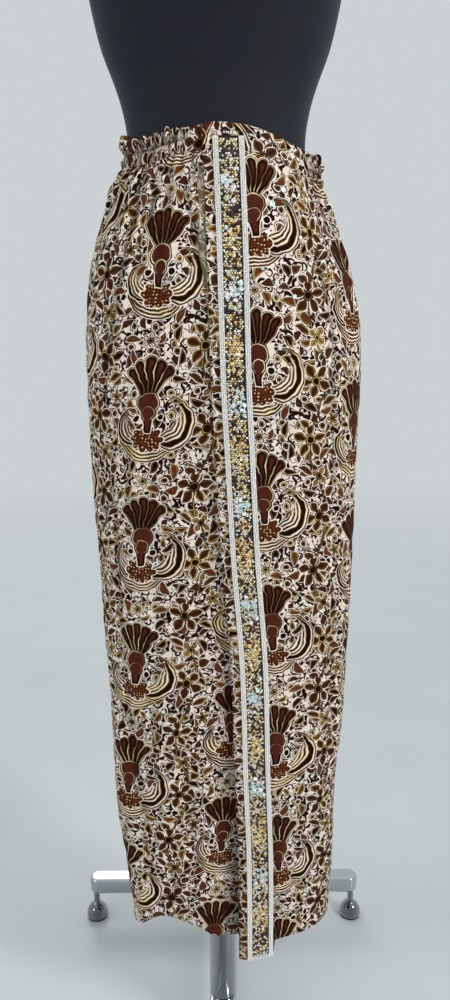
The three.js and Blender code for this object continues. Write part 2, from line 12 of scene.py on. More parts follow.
import bpy
import numpy as np
from mathutils import Matrix, Vector


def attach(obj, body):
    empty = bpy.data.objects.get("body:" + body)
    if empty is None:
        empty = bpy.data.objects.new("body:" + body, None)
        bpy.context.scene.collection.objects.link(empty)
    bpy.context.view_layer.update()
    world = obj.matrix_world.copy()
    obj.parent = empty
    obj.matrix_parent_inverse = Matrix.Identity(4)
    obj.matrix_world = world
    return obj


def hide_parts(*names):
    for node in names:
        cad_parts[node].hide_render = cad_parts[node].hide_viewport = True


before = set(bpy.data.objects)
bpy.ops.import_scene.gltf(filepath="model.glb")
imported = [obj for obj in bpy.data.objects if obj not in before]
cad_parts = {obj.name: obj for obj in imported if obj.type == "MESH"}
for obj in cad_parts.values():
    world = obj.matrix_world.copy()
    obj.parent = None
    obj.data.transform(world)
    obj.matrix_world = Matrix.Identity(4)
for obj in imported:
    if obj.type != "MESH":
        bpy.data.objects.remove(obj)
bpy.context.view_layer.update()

MM = 0.001  # metres in a millimetre

# %% [markdown]
# ## The camera
#
# The skirt is seen from just under a metre away and about waist high, looking a little down, so the hem
# is seen from above and the waist almost level. A short lens from near by widens what is
# closest, here the hips. The camera comes first, because everything later is judged through it.

# %% Camera
CAMERA_PLACE = (0.007, -0.953, 0.985)
CAMERA_DOWN = math.radians(11.45)
CAMERA_ROLL = math.radians(-0.38)

camera_data = bpy.data.cameras.new("camera")
camera_data.lens = 28.08
camera_data.sensor_width = 36
camera = bpy.data.objects.new("camera", camera_data)
camera.matrix_world = (
    Matrix.Translation(CAMERA_PLACE)
    @ Matrix.Rotation(math.pi / 2 - CAMERA_DOWN, 4, "X")
    @ Matrix.Rotation(CAMERA_ROLL, 4, "Z")
)
bpy.context.scene.collection.objects.link(camera)
bpy.context.scene.camera = camera
bpy.context.scene.view_settings.view_transform = "Standard"
print("camera", CAMERA_PLACE, "lens", camera_data.lens)

# %% [markdown]
# ## The sizes of the skirt
#
# A maker would write the skirt down as a table: how wide and deep it is at each height. A smooth curve
# is drawn through each column, so a few rows are enough. The solids come from the same tables, which is
# why the cloth made here lies where they do.

# %% Tables and a curve through them
def table(names, *rows):
    """A table with named columns."""
    return dict(zip(names.split(), np.array(rows, float).T))


def read(rows, key, at, column):
    """A smooth curve through one column, read at values of the key column."""
    x, y = rows[key], rows[column]
    inner = (y[2:] - y[:-2]) / (x[2:] - x[:-2])
    first, last = (y[1] - y[0]) / (x[1] - x[0]), (y[-1] - y[-2]) / (x[-1] - x[-2])
    slope = np.concatenate([[first], inner, [last]])
    at = np.clip(at, x[0], x[-1])
    i = np.clip(np.searchsorted(x, at, side="right") - 1, 0, len(x) - 2)
    width = x[i + 1] - x[i]
    u = (at - x[i]) / width
    start = y[i] * (1 + 2 * u) * (1 - u) ** 2 + slope[i] * width * u * (1 - u) ** 2
    end = y[i + 1] * u * u * (3 - 2 * u) + slope[i + 1] * width * u * u * (u - 1)
    return start + end


# Outer half widths left and right of the axis, depth in front and behind, and how square it is.
SKIRT = table(
    "z left right front back power",
    (185, 118.5, 143.5, 57, 86, 2.3),
    (240, 123, 147, 59.5, 88, 2.35),
    (290, 129, 148.5, 62.5, 90, 2.4),
    (350, 135, 150.3, 66, 92, 2.45),
    (405, 137.3, 151.5, 69.5, 94, 2.5),
    (470, 138.8, 154.3, 73.5, 96, 2.5),
    (550, 141.5, 158.5, 79, 99, 2.5),
    (635, 144.8, 161.5, 85, 103, 2.5),
    (715, 147, 162, 91, 108, 2.5),
    (790, 150, 164, 97, 114, 2.5),
    (855, 153, 165, 102, 120, 2.45),
    (915, 155, 168, 106, 125, 2.4),
    (975, 155, 168, 108.5, 127, 2.4),
    (1020, 152, 164, 108, 125, 2.4),
    (1060, 147.5, 154.5, 105, 120, 2.38),
    (1090, 141, 144, 101, 114, 2.35),
    (1120, 130.5, 131, 96, 106, 2.3),
    (1145, 119.8, 120, 91.5, 98, 2.25),
    (1165, 110, 117.5, 88, 92.6, 2.2),
    (1190, 105, 115, 85.5, 89, 2.2),
    (1215, 105.8, 111, 85, 88, 2.2),
)
# Height of the top edge. Round: 0 is centre front, 1 the right seam, 2 centre back, -1 and 3 the left.
TOP = table(
    "round z",
    (-1, 1204), (-0.75, 1199), (-0.5, 1196), (-0.3, 1201), (-0.12, 1206), (0, 1208.5),
    (0.27, 1203.5), (0.52, 1191), (0.67, 1186), (0.83, 1180.5), (1, 1176), (1.25, 1174),
    (1.6, 1181), (2, 1192), (2.5, 1200), (3, 1204),
)
UNDER_HEM = table(
    "round z",
    (-1, 208), (-0.93, 210), (-0.74, 221), (-0.62, 235), (-0.53, 243), (-0.45, 242),
    (-0.36, 237), (-0.22, 228), (-0.08, 218), (0.1, 212),
)
BACK_HEM = table("round z", (1, 222), (1.5, 228), (2.2, 221), (3, 208))
WRAP_HEM = table("share z", (0, 214), (0.45, 216), (0.75, 220), (1, 222))
# Middle of the beaded band, to the right of centre front; how far the wrap panel's edge stands off and
# curls back there, and how deep the under panel lies behind it.
BAND = table(
    "z centre flare curl recess",
    (185, 48.5, 15, 7, 9), (340, 47.5, 11, 5.5, 7.5), (460, 43.5, 7.5, 4, 6),
    (570, 41, 5, 3, 5), (635, 38, 3.8, 2.4, 4.2), (735, 30.3, 2.4, 1.6, 3.6),
    (875, 23, 1.3, 1.0, 3), (937, 20, 1.0, 0.8, 2.8), (1104, 16, 0.6, 0.6, 2.6),
    (1215, 12, 0.4, 0.4, 2.6),
)
# Large folds: where round, between which heights, how far out and how wide.
FOLDS = table(
    "round low high out wide",
    (-0.73, 150, 640, 6, 24), (-0.86, 420, 1010, 3, 20), (-0.47, 640, 1120, 2.2, 17),
    (-0.28, 150, 520, -3.5, 26), (0.62, 150, 560, 3.5, 26), (0.84, 300, 1060, 3, 22),
    (1.3, 150, 700, 5, 30), (1.62, 420, 1080, 3.5, 24), (1.85, 150, 560, -4, 30),
    (2.12, 150, 820, 5, 30), (2.45, 380, 1080, 3, 24), (2.72, 150, 600, 5, 28),
)
WAIST_Z, HIP_Z, HEM_Z = 1190, 975, 220
WAISTBAND_HEIGHT = 25
SEWN_GAP = 0.5  # between pieces sewn together, along the cloth
BAND_WIDTH = 33
LEAD_STRIP = 10.5  # plain cloth outside the band
OVERLAP = 112  # the under panel runs this far beneath the wrap panel
print("waist to hem", WAIST_Z - HEM_Z, "mm")

# %% [markdown]
# ## Finding a place on the cloth
#
# Cloth is measured along itself, not in straight lines, so each level section of the skirt is walked
# with a tape: a place is a share of the way from one seam to the next. Sections are rounded ovals. They
# are worked out once, every few millimetres of height, and everything else looks its places up there.

# %% Level sections, measured along the cloth
LEVEL_STEP = 2.0
LEVELS = np.arange(170, 1231, LEVEL_STEP)
SHARES = 120  # places kept in each quarter


def ease(x):
    x = np.clip(x, 0, 1)
    return x * x * (3 - 2 * x)


def oval(left, right, front, back, power, angle):
    """A rounded oval: angle 0 is centre front, a quarter turn its right-hand side."""
    side, ahead = np.sin(angle), np.cos(angle)
    half, depth = np.where(side > 0, right, left), np.where(ahead > 0, front, back)
    bend = 2 / power
    return np.stack(
        [
            half * np.sign(side) * np.abs(side) ** bend,
            -depth * np.sign(ahead) * np.abs(ahead) ** bend,
        ],
        -1,
    )


def walk_sections():
    """Evenly spaced points round every level, and the length of cloth in each quarter."""
    sizes = [read(SKIRT, "z", LEVELS, c) for c in ("left", "right", "front", "back", "power")]
    ring = np.zeros((len(LEVELS), 4 * SHARES + 1, 2))
    length = np.zeros((len(LEVELS), 4))
    even = np.linspace(0, 1, SHARES + 1)
    for quarter in range(4):
        angle = (quarter + np.linspace(0, 1, 161)) * math.pi / 2
        for i, size in enumerate(zip(*sizes)):
            points = oval(*size, angle)
            along = np.append(0, np.cumsum(np.linalg.norm(np.diff(points, axis=0), axis=1)))
            length[i, quarter] = along[-1]
            here = slice(quarter * SHARES, (quarter + 1) * SHARES + 1)
            for axis in (0, 1):
                ring[i, here, axis] = np.interp(even * along[-1], along, points[:, axis])
    tangent = np.roll(ring[:, :-1], -1, 1) - np.roll(ring[:, :-1], 1, 1)
    tangent = np.concatenate([tangent, tangent[:, :1]], 1)
    normal = np.stack([tangent[..., 1], -tangent[..., 0]], -1)
    return ring, normal / np.linalg.norm(normal, axis=-1, keepdims=True), length


RING, NORMAL, LENGTH = walk_sections()


def quarter_length(quarter, z):
    return np.interp(z, LEVELS, LENGTH[:, quarter])


def skirt_point(around, z, out):
    """Point on the skirt's outer face at a place round it and a height, moved out by a distance."""
    around, z, out = np.broadcast_arrays(around, z, out)
    level = np.clip((z - LEVELS[0]) / LEVEL_STEP, 0, len(LEVELS) - 1.001)
    place = np.clip((around % 4) * SHARES, 0, 4 * SHARES - 1e-6)
    i, j = level.astype(int), place.astype(int)
    a, b = (level - i)[..., None], (place - j)[..., None]

    def between(grid):
        upper = grid[i, j] * (1 - b) + grid[i, j + 1] * b
        return upper * (1 - a) + (grid[i + 1, j] * (1 - b) + grid[i + 1, j + 1] * b) * a

    flat = between(RING) + between(NORMAL) * out[..., None]
    return np.concatenate([flat, z[..., None].astype(float)], -1)


print("hip girth", round(sum(quarter_length(q, HIP_Z) for q in range(4))), "mm")

# %% Where the edges, the band and the folds lie
def round_from_centre(distance, z):
    """A distance from centre front, as a share of its quarter."""
    return distance / np.where(distance > 0, quarter_length(0, z), quarter_length(3, z))


def band_centre(z):
    return read(BAND, "z", z, "centre")


def leading_edge(z):
    return band_centre(z) - BAND_WIDTH / 2 - LEAD_STRIP


def top_at(around):
    return read(TOP, "round", around, "z")


def seam_at(around):
    return top_at(around) - WAISTBAND_HEIGHT


def folds_at(around, z):
    total = 0
    for place, low, high, out, wide in zip(*(FOLDS[c] for c in "round low high out wide".split())):
        quarter = min(3, int((place + 4) % 4))
        away = (around - place) * quarter_length(quarter, z) / wide
        middle, reach = (high + low) / 2, (high - low) / 2
        level = ease(1.25 - np.abs(z - middle) / reach)
        if low < 200:
            level = np.where(z < middle, 1, level)
        total = total + out * np.exp(-away * away) * level
    return total


def recess_at(distance, z):
    """How far the under panel sinks behind the wrap panel's leading edge."""
    return read(BAND, "z", z, "recess") * ease((distance - leading_edge(z) + 34) / 30)


def flare_at(past, z):
    """How far the wrap panel stands off near its leading edge, with the edge itself curling back."""
    curl = read(BAND, "z", z, "curl") * (1 - np.clip(past / LEAD_STRIP, 0, 1)) ** 1.5
    return read(BAND, "z", z, "flare") * ease(1 - past / 105) - curl


print("band runs from", round(float(band_centre(185)), 1), "to", round(float(band_centre(1190)), 1))

# %% [markdown]
# ## Cloth as a thin shell
#
# Real cloth has two faces and an edge that catches the light, so each panel is a closed thin shell: a
# grid of points for the right side, another a millimetre inside it for the wrong side, and rims that
# join them. The grids carry their own measure of the cloth, across and up, so that the print can follow
# the cloth into its gathers.

# %% Meshes from grids
def write_mesh(name, points, faces, uv=None, **marks):
    """A smooth-shaded object from points in millimetres. Each mark is one number at every point."""
    points, faces = np.asarray(points, float), np.asarray(faces)
    a, b, c = (points[faces[:, i]] for i in range(3))
    d = points[faces[:, -1]]
    volume = (a * np.cross(b, c)).sum() + (a * np.cross(c, d)).sum()
    if volume < 0:
        faces = faces[:, ::-1]
    mesh = bpy.data.meshes.new(name)
    mesh.from_pydata(points * MM, [], faces.tolist())
    mesh.shade_smooth()
    if uv is not None:
        corner = np.zeros(len(mesh.loops), int)
        mesh.loops.foreach_get("vertex_index", corner)
        mesh.uv_layers.new(name="cloth").data.foreach_set("uv", (uv[corner] * MM).ravel())
    for mark, values in marks.items():
        mesh.attributes.new(mark, "FLOAT", "POINT").data.foreach_set("value", values.astype(np.float32))
    piece = bpy.data.objects.new(name, mesh)
    bpy.context.scene.collection.objects.link(piece)
    return piece


def quads(grid):
    """Four-sided faces over a grid of point numbers."""
    corners = [grid[:-1, :-1], grid[:-1, 1:], grid[1:, 1:], grid[1:, :-1]]
    return np.stack([c.ravel() for c in corners], -1)


def shell(name, outer, inner, across, up, tight=0.0):
    """A closed sheet between two grids of points, with the cloth's measure across and up it, and how much
    painted shade darkens its colour at each place, where it lies deep in a fold."""
    near = np.arange(outer.shape[0] * outer.shape[1]).reshape(outer.shape[:2])
    far = near + near.size
    faces = [quads(near), quads(far)[:, ::-1]]
    for line, other in (
        (near[0][::-1], far[0][::-1]),
        (near[-1], far[-1]),
        (near[:, 0], far[:, 0]),
        (near[::-1, -1], far[::-1, -1]),
    ):
        faces.append(np.stack([line[:-1], line[1:], other[1:], other[:-1]], -1))
    points = np.concatenate([outer.reshape(-1, 3), inner.reshape(-1, 3)])
    across, up = np.broadcast_arrays(across, up)
    uv = np.tile(np.stack([across.ravel(), up.ravel()], -1), (2, 1))
    tight = np.tile(np.broadcast_to(tight, near.shape).ravel(), 2)
    wrong = np.repeat([0.0, 1.0], near.size)
    return write_mesh(name, points, np.concatenate(faces), uv, wrong_side=wrong, tight=tight)


def tightness(out, depth=1.9, reach=6):
    """How far each place lies below the cloth to its left and right: 1 where it is depth deep. It is used
    as painted shade that darkens the colour in folds.
    """
    beside = np.pad(out, ((0, 0), (reach + 1, reach)), mode="edge").cumsum(1)
    mean = (beside[:, 2 * reach + 1 :] - beside[:, : -2 * reach - 1]) / (2 * reach + 1)
    return np.clip((mean - out) / depth, 0, 1)


def surface_normals(points):
    """Outward normals of a grid whose rows run downward or inward and columns to the right."""
    normal = np.cross(np.gradient(points, axis=0), np.gradient(points, axis=1))
    return normal / np.maximum(np.linalg.norm(normal, axis=-1, keepdims=True), 1e-9)


def triangles(piece):
    return sum(len(p.vertices) - 2 for p in piece.data.polygons)


print("helpers ready")

# %% [markdown]
# ## How the cloth moves
#
# Gathered cloth stands in ridges just under its seam, and each ridge fades at its own height, the small
# ones within a finger's width and the broad ones as far as the hip. Further down the cotton only ripples
# softly. Both could be simulated, but ridges with their own height and reach are quicker to steer and
# come out the same each time.

# %% Gathers, ripples and soft creases
def scatter(index):
    """A repeatable number from 0 to 1 for each whole number."""
    wave = np.sin(index * 12.9898 + 4.1) * 43758.5453
    return wave - np.floor(wave)


def ripples(x, y, seed, size, count=7):
    """Smooth unevenness from about -1 to 1, with hills about size apart."""
    draw = np.random.default_rng(seed)
    total = 0
    for _ in range(count):
        heading, pace, start = draw.uniform(0, math.tau), draw.uniform(0.7, 1.4), draw.uniform(0, math.tau)
        run = x * math.cos(heading) + y * math.sin(heading)
        total = total + np.sin(run * pace * math.tau / size + start)
    return total / math.sqrt(count)


def ridges(phase, drop, seed, short, long):
    """One ridge for each whole step of phase, each with its own height and reach down the cloth."""
    phase = phase + 0.28 * np.sin(phase * 0.83 + seed) + 0.16 * np.sin(drop / 11 + phase * 1.3)
    index = np.floor(phase)
    height = 0.45 + 0.95 * scatter(index + seed)
    reach = short + (long - short) * scatter(index * 3 + seed + 11)
    return np.abs(np.sin(np.pi * (phase - index))) ** 1.4 * height * np.exp(-((drop / reach) ** 2))


def gathers(phase, drop, seed):
    """Fine ridges at the seam that run together into broader ones below it."""
    fine = ridges(phase, drop, seed, 18, 62)
    broad = ridges(phase / 2.6, drop, seed + 5, 60, 125)
    return (5.2 * fine + 3.6 * broad * ease(drop / 25)) * (0.45 + 0.55 * ease(drop / 7))


# Creases: distance from centre front, height, lean from upright in degrees, half length, half width, depth.
CREASES = table(
    "across z lean long wide deep",
    (-96, 1090, 18, 42, 4, 1.5), (-70, 1112, 8, 34, 3.5, 1.3), (-46, 1120, -4, 30, 3.2, 1.2),
    (-24, 1108, -14, 38, 3.6, 1.3), (-118, 1010, 14, 70, 6, 1.5), (-58, 1040, 4, 52, 5, 0.9),
    (-104, 820, 3, 120, 7, 1.4), (-124, 700, -2, 130, 6, 1.6), (-78, 560, 5, 100, 9, 1.1),
    (-110, 470, -6, 90, 7, 1.5), (-40, 420, -5, 90, 10, 1.6), (-20, 600, -3, 130, 8, 1.4),
    (-134, 330, 9, 60, 6, 1.6), (-92, 330, 12, 60, 7, 1.2), (-60, 290, -10, 45, 8, 1.2),
    (92, 1095, -14, 40, 4, 1.4), (112, 1068, -20, 44, 4.5, 1.6), (128, 1010, -12, 62, 5, 1.4),
    (100, 930, -5, 80, 7, 1.1), (138, 850, -2, 120, 6, 1.6), (118, 690, 3, 110, 7, 1.2),
    (142, 560, 2, 120, 6, 1.5), (104, 430, -6, 80, 8, 1.2), (128, 330, -9, 70, 7, 1.5),
    (92, 300, -14, 50, 7, 1.1),
)


def creases_at(distance, z):
    total = 0
    for across, at, lean, long, wide, deep in zip(*CREASES.values()):
        turn = math.radians(lean)
        x, y = distance - across, z - at
        along, beside = y * math.cos(turn) + x * math.sin(turn), x * math.cos(turn) - y * math.sin(turn)
        fade = np.exp(-((along / long) ** 2))
        valley = np.exp(-((beside / wide) ** 2))
        bank = np.exp(-(((beside - 1.9 * wide) / (1.5 * wide)) ** 2))
        total = total + 1.3 * deep * fade * (0.8 * bank - valley)
    return total


def soft_wave(distance, z, seed):
    """Ripples that are lazy round the hips and livelier towards the hem."""
    lively = 0.45 + 0.75 * ease((700 - z) / 400)
    broad = 1.5 * lively * ripples(distance, z * 0.3, seed, 70)
    return broad + 0.4 * ripples(distance, z * 0.7, seed + 1, 24)


print("creases placed by hand:", len(CREASES["z"]))

# %% [markdown]
# ## The three panels
#
# Each panel is laid out as a grid of columns from seam to seam and rows from the waist to the hem, close
# together where it is gathered. The hem is turned up twice, which makes it a little thicker, so the last
# centimetre stands out from the cloth above it.

# %% Rows of a panel, and its finished edges
CLOTH = 1.1  # thickness of the cotton
HEM_TURN = 13  # height of the turned hem
ROW_STEP = 6.0
PANEL_TOP, PANEL_HEM = 1170, 215  # about where a panel starts and ends
# Depths of the first rows below the waist seam, close together where the cloth is gathered.
GATHER_ROWS = np.array([0, 1.2, 3, 5, 7.5, 10, 13, 16.5, 20, 24, 28, 33, 38, 44, 50, 57, 64, 72])


def row_heights(top, hem):
    """Heights of a panel's rows for each column, from its top edge to its hem."""
    count = int(round((PANEL_TOP - GATHER_ROWS[-1] - PANEL_HEM) / ROW_STEP))
    share = np.linspace(0, 1, count + 1)[1:, None]
    start = top - GATHER_ROWS[-1]
    body = start + (hem - start) * share
    hem_rows = hem + (body[-2] - hem) * np.array([0.75, 0.5, 0.25])[:, None]
    return np.concatenate([top - GATHER_ROWS[:, None], body[:-1], hem_rows, body[-1:]])


def edge_shape(z, top, hem):
    """The cloth dips into its waist seam and stands proud where the hem is turned up."""
    turned = ease((hem + HEM_TURN - z) / 1.5)
    stitched = np.exp(-(((z - hem - HEM_TURN + 1.5) / 2.2) ** 2))
    return 0.5 * turned - 0.45 * stitched - 0.5 * np.exp(-((top - z) / 2.5))


def panel(name, around_at, edges, out_at, across_at, columns, print_from, painted_shade_at=None):
    """Builds one panel. The functions give its place round, its edges, how far out, its measure across,
    and where painted shade darkens it because it lies deep behind another piece."""
    t = np.linspace(0, 1, columns)[None, :]
    top, hem = edges(t)
    z = row_heights(top, hem)
    around = around_at(t, z)
    out = out_at(t, z, top - z) + edge_shape(z, top, hem)
    outer = skirt_point(around, z, out)
    inner = skirt_point(around, z, out - CLOTH)
    # Painted shade where the cloth lies below its neighbours in a fold, and behind another piece.
    tight = tightness(out)
    if painted_shade_at:
        tight = np.maximum(tight, painted_shade_at(t, z))
    return shell(name, outer, inner, across_at(t, z), z - print_from, tight), outer


def loosened(distance, z, quarter):
    """The cloth's own measure above the hips, where more cloth is drawn into less width."""
    full, here = quarter_length(quarter, HIP_Z), quarter_length(quarter, np.maximum(z, HIP_Z))
    return distance * full / here


print("rows in a panel:", row_heights(np.full((1, 1), 1170.0), np.full((1, 1), 215.0)).shape[0])

# %% [markdown]
# The under panel starts at the left side seam. It is gathered over a good half of its width and then
# runs flat beneath the wrap panel, a hand's width past its edge, so that a step never opens the skirt.

# %% Under panel
UNDER_WAVES = 19


def under_distance(t, z):
    start = -quarter_length(3, z) + SEWN_GAP / 2
    return start + (leading_edge(z) + OVERLAP - start) * t


def under_round(t, z):
    return round_from_centre(under_distance(t, z), z)


def under_edges(t):
    top = seam_at(under_round(t, WAIST_Z)) - SEWN_GAP
    return top, read(UNDER_HEM, "round", under_round(t, HEM_Z), "z")


def under_out(t, z, drop):
    distance = under_distance(t, z)
    hidden = ease((distance - leading_edge(z)) / 30 + 0.4)
    gathered = 1 - ease((t - 0.5) / 0.08)
    moving = folds_at(under_round(t, z), z) + creases_at(distance, z) + soft_wave(distance, z, 21)
    moving = moving + gathered * gathers(t / 0.56 * UNDER_WAVES, drop, 3)
    return moving * (1 - hidden) - recess_at(distance, z)


def under_painted_shade(t, z):
    """Painted shade in the groove where the under panel falls beside the wrap panel's edge, deeper
    towards the hem.
    """
    beside = under_distance(t, z) - leading_edge(z)
    return 0.8 * ease((beside + 27) / 22) * read(BAND, "z", z, "recess") / 9


under_panel, under_grid = panel(
    "under_panel_cloth", under_round, under_edges, under_out,
    lambda t, z: loosened(under_distance(t, z), z, 3) + 61 + 0.088 * (1089 - z), 176, 1089, under_painted_shade,
)
print("under panel:", triangles(under_panel), "triangles")

# %% [markdown]
# The wrap panel carries the beaded band. Its first columns keep a fixed distance from the leading edge,
# so the band runs true, and the others share the way to the right seam. Lower down the panel falls away
# from the body and its edge curls back a little, as a hanging edge with beads on it does.

# %% Wrap panel
BESIDE_BAND = 46.5
BAND_END_Z, STRIP_END_Z = 192.5, 188
WRAP_WAVES = 13
EDGE_COLUMNS = np.array([0, 0.6, 1.6, 3, 4.5, 6.5, 8.5, 10.5, 14, 18, 22.5, 27, 31.5, 36, 40, 43.5, 46.5])


def wrap_distance(mm, share, z):
    rest = quarter_length(0, z) - SEWN_GAP / 2 - leading_edge(z) - BESIDE_BAND
    return leading_edge(z) + mm + share * rest


def wrap_lift(mm, share, z):
    distance = wrap_distance(mm, share, z)
    folds = folds_at(round_from_centre(distance, z), z) * ease(share * 4)
    return flare_at(distance - leading_edge(z), z) + folds


def wrap_point(mm, share, z, out):
    around = round_from_centre(wrap_distance(mm, share, z), z)
    return skirt_point(around, z, out + wrap_lift(mm, share, z))


def wrap_edges(mm, share):
    top = seam_at(round_from_centre(wrap_distance(mm, share, WAIST_Z), WAIST_Z)) - SEWN_GAP
    on_band = STRIP_END_Z + (BAND_END_Z - STRIP_END_Z) * np.clip(mm / LEAD_STRIP, 0, 1)
    return top, np.where(mm < BESIDE_BAND, on_band, read(WRAP_HEM, "share", share, "z"))


WRAP_SHARES = np.linspace(0, 1, 130)[1:]
# Each column's fixed distance from the free edge, and its share of the width beyond the band.
WRAP_MM = np.append(EDGE_COLUMNS, np.full(len(WRAP_SHARES), BESIDE_BAND))[None, :]
WRAP_SHARE = np.append(np.zeros(len(EDGE_COLUMNS)), WRAP_SHARES)[None, :]


def wrap_out(t, z, drop):
    mm, share = WRAP_MM, WRAP_SHARE
    distance = wrap_distance(mm, share, z)
    free = ease(share * 5)
    gathered = ease((share - 0.48) * 7)
    wave = gathers(share * WRAP_WAVES * 1.9, drop, 40) * gathered
    moving = creases_at(distance, z) + soft_wave(distance, z, 55)
    return wrap_lift(mm, share, z) + (wave + moving) * free


def wrap_across(t, z):
    mm, share = WRAP_MM, WRAP_SHARE
    distance = wrap_distance(mm, share, z)
    drawn_in = quarter_length(0, HIP_Z) - quarter_length(0, np.maximum(z, HIP_Z))
    return distance - leading_edge(z) + drawn_in * ease((share - 0.3) / 0.7) - 51


wrap_panel, wrap_grid = panel(
    "wrap_panel_cloth",
    lambda t, z: round_from_centre(wrap_distance(WRAP_MM, WRAP_SHARE, z), z),
    lambda t: wrap_edges(WRAP_MM, WRAP_SHARE),
    wrap_out, wrap_across, WRAP_MM.size, 985,
)
print("wrap panel:", triangles(wrap_panel), "triangles")

# %% [markdown]
# The back panel is one piece from side seam to side seam, gathered all the way, because the elastic in
# the waistband runs across the whole back.

# %% Back panel
BACK_WAVES = 38


def back_round(t, z):
    margin = SEWN_GAP / 2 / quarter_length(1, z)
    return 1 + margin + (2 - 2 * margin) * t


def back_edges(t):
    return seam_at(1 + 2 * t) - SEWN_GAP, read(BACK_HEM, "round", 1 + 2 * t, "z")


def back_distance(t, z):
    return (2 * t - 1) * (quarter_length(1, z) + quarter_length(2, z)) / 2


def back_out(t, z, drop):
    distance = back_distance(t, z)
    beside_seam = ease(np.minimum(t, 1 - t) / 0.02)
    moving = soft_wave(distance, z, 80) + gathers(t * BACK_WAVES, drop, 71)
    return folds_at(back_round(t, z), z) + moving * beside_seam


back_panel, back_grid = panel(
    "back_panel_cloth", back_round, back_edges, back_out,
    lambda t, z: loosened(back_distance(t, z), z, 1) + 15, 262, 1040,
)
print("back panel:", triangles(back_panel), "triangles")

# %% [markdown]
# ## The waistband
#
# The waistband is a strip of the same print folded over: up the outside, over the top and down the
# inside, with elastic in the fold. Where the elastic pulls, the strip stands in tight ruffles with a
# small frill above the last row of stitching. Over the wrap it has no elastic and lies flat. It is made
# as one grid that really goes over the fold, so the top edge is round and not a cut.

# %% Waistband pieces
BAND_CLOTH = 0.8
# How far the ruffles stand out at each level: 0 at the waist seam, 1 at the top edge.
PUFF = table(
    "level puff",
    (0, 0.3), (0.14, 1.3), (0.32, 1.6), (0.5, 0.4), (0.6, 0.1),
    (0.7, 0.7), (0.84, 2.3), (0.94, 2.2), (1, 1.2),
)
PINCH_LEVEL = 0.59  # the elastic's upper row of stitching


def waistband(name, start, end, columns, waves, seed, gathered_at, wall_at, sunk_at, shift):
    """A folded strip between two places round the skirt; rows go up the outside and down the inside."""
    t = np.linspace(0, 1, columns)[None, :]
    around = start + (end - start) * t
    up = np.concatenate([np.linspace(0, 0.93, 22), np.linspace(0.95, 1, 5)])[:, None]
    gathered, wall, sunk = gathered_at(t), wall_at(t), sunk_at(t)
    low, high = seam_at(around), top_at(around)
    phase = t * waves + 0.3 * np.sin(t * waves * 0.7 + seed)
    index = np.floor(phase)
    height = 0.35 + 1.25 * scatter(index + seed)
    ridge = np.abs(np.sin(np.pi * (phase - index))) ** 1.3 * height
    ridge = (ridge + 0.16 * np.sin(phase * 9.7 + seed)) * gathered
    frill = ease((up - 0.72) / 0.28) * gathered
    sway = 1.3 * np.sin(phase * 1.7 + seed) * frill
    rise = ridge * 4.6 * frill * (0.2 + scatter(index + 90))
    z = low + (high - low) * up + rise * up
    pinch = gathered * np.exp(-(((up - PINCH_LEVEL) / 0.07) ** 2))
    flutter = frill * np.sin(phase * 2.3 + seed) * (height - 0.9)
    puff = 1.7 * read(PUFF, "level", up, "puff") * ridge + flutter + 0.6 * frill - 2.0 * pinch
    flat_curve = 0.35 * np.sin(np.pi * np.clip(up * 1.05, 0, 1)) * (1 - gathered)
    reach = (end - start) * quarter_length(0 if end < 1.1 else 1, WAIST_Z)
    moved = around + sway / quarter_length(1, WAIST_Z)
    outside = skirt_point(moved, z, puff + flat_curve - sunk)
    top_out = (puff + flat_curve - sunk)[-1:]
    over = np.array([0.3, 0.7])[:, None]
    fold_z = z[-1:] + 0.5 * np.sin(np.pi * over)
    fold = skirt_point(moved[-1:], fold_z, top_out * (1 - over) - (wall + sunk) * over)
    down = np.linspace(1, 0, 12)[:, None]
    z_inside = low + (z[-1:] - low) * down
    inside = skirt_point(around, z_inside, -wall - sunk + 0 * down)
    points = np.concatenate([outside, fold, inside])
    body = points + BAND_CLOTH * surface_normals(points)
    measure = np.concatenate([up[:, 0] * 25, [26, 27], 28 + (1 - down[:, 0]) * 25])[:, None]
    print_across = reach * np.cumsum(1 + 1.2 * gathered, 1) / columns + shift
    # Painted shade in the hollows between the ruffles and along the elastic's pinch.
    tight = np.maximum(tightness(puff + 0 * z, 1.5), pinch)
    tight = np.concatenate([tight, np.zeros((len(points) - len(tight), columns))])
    return shell(name, points, body, print_across, 40 + measure, tight), points


WAIST_LEAD = float(round_from_centre(leading_edge(WAIST_Z), WAIST_Z))
UNDER_END = float(round_from_centre(leading_edge(WAIST_Z) + OVERLAP, WAIST_Z))
FLAT_END = 0.6
MARGIN = float(SEWN_GAP / 2 / quarter_length(3, WAIST_Z))
HIDDEN_FROM = (WAIST_LEAD + 1) / (UNDER_END + 1)

waist_under, waist_under_grid = waistband(
    "waistband_under_cloth", -1 + MARGIN, UNDER_END, 330, 33, 3,
    lambda t: 1 - ease((t - HIDDEN_FROM + 0.09) / 0.06),
    lambda t: 3.2 - 1.7 * ease((t - HIDDEN_FROM + 0.12) / 0.1),
    lambda t: 2.9 * ease((t - HIDDEN_FROM + 0.12) / 0.1), 11,
)
waist_front, waist_front_grid = waistband(
    "waistband_front_cloth", WAIST_LEAD, FLAT_END - MARGIN, 60, 6, 40,
    lambda t: 0 * t, lambda t: 1.9 + 0 * t, lambda t: 0 * t, 126,
)
waist_back, waist_back_grid = waistband(
    "waistband_back_cloth", FLAT_END + MARGIN, 3 - MARGIN, 500, 52, 71,
    lambda t: ease(t * 14), lambda t: 1.9 + 1.3 * ease(t * 5 - 1), lambda t: 0 * t, 260,
)
print("waistband:", sum(map(triangles, (waist_under, waist_front, waist_back))), "triangles")

# %% [markdown]
# ## Turned edge and sewing
#
# The wrap panel's edge is turned under, and near the waist the turned part slips a few millimetres past
# the edge and shows its faded wrong side. The thread is dark: one row holds the turned hems and another
# runs along the waistband just below its frill. Every stitch is a small rounded piece of thread that
# lies on the cloth it holds.

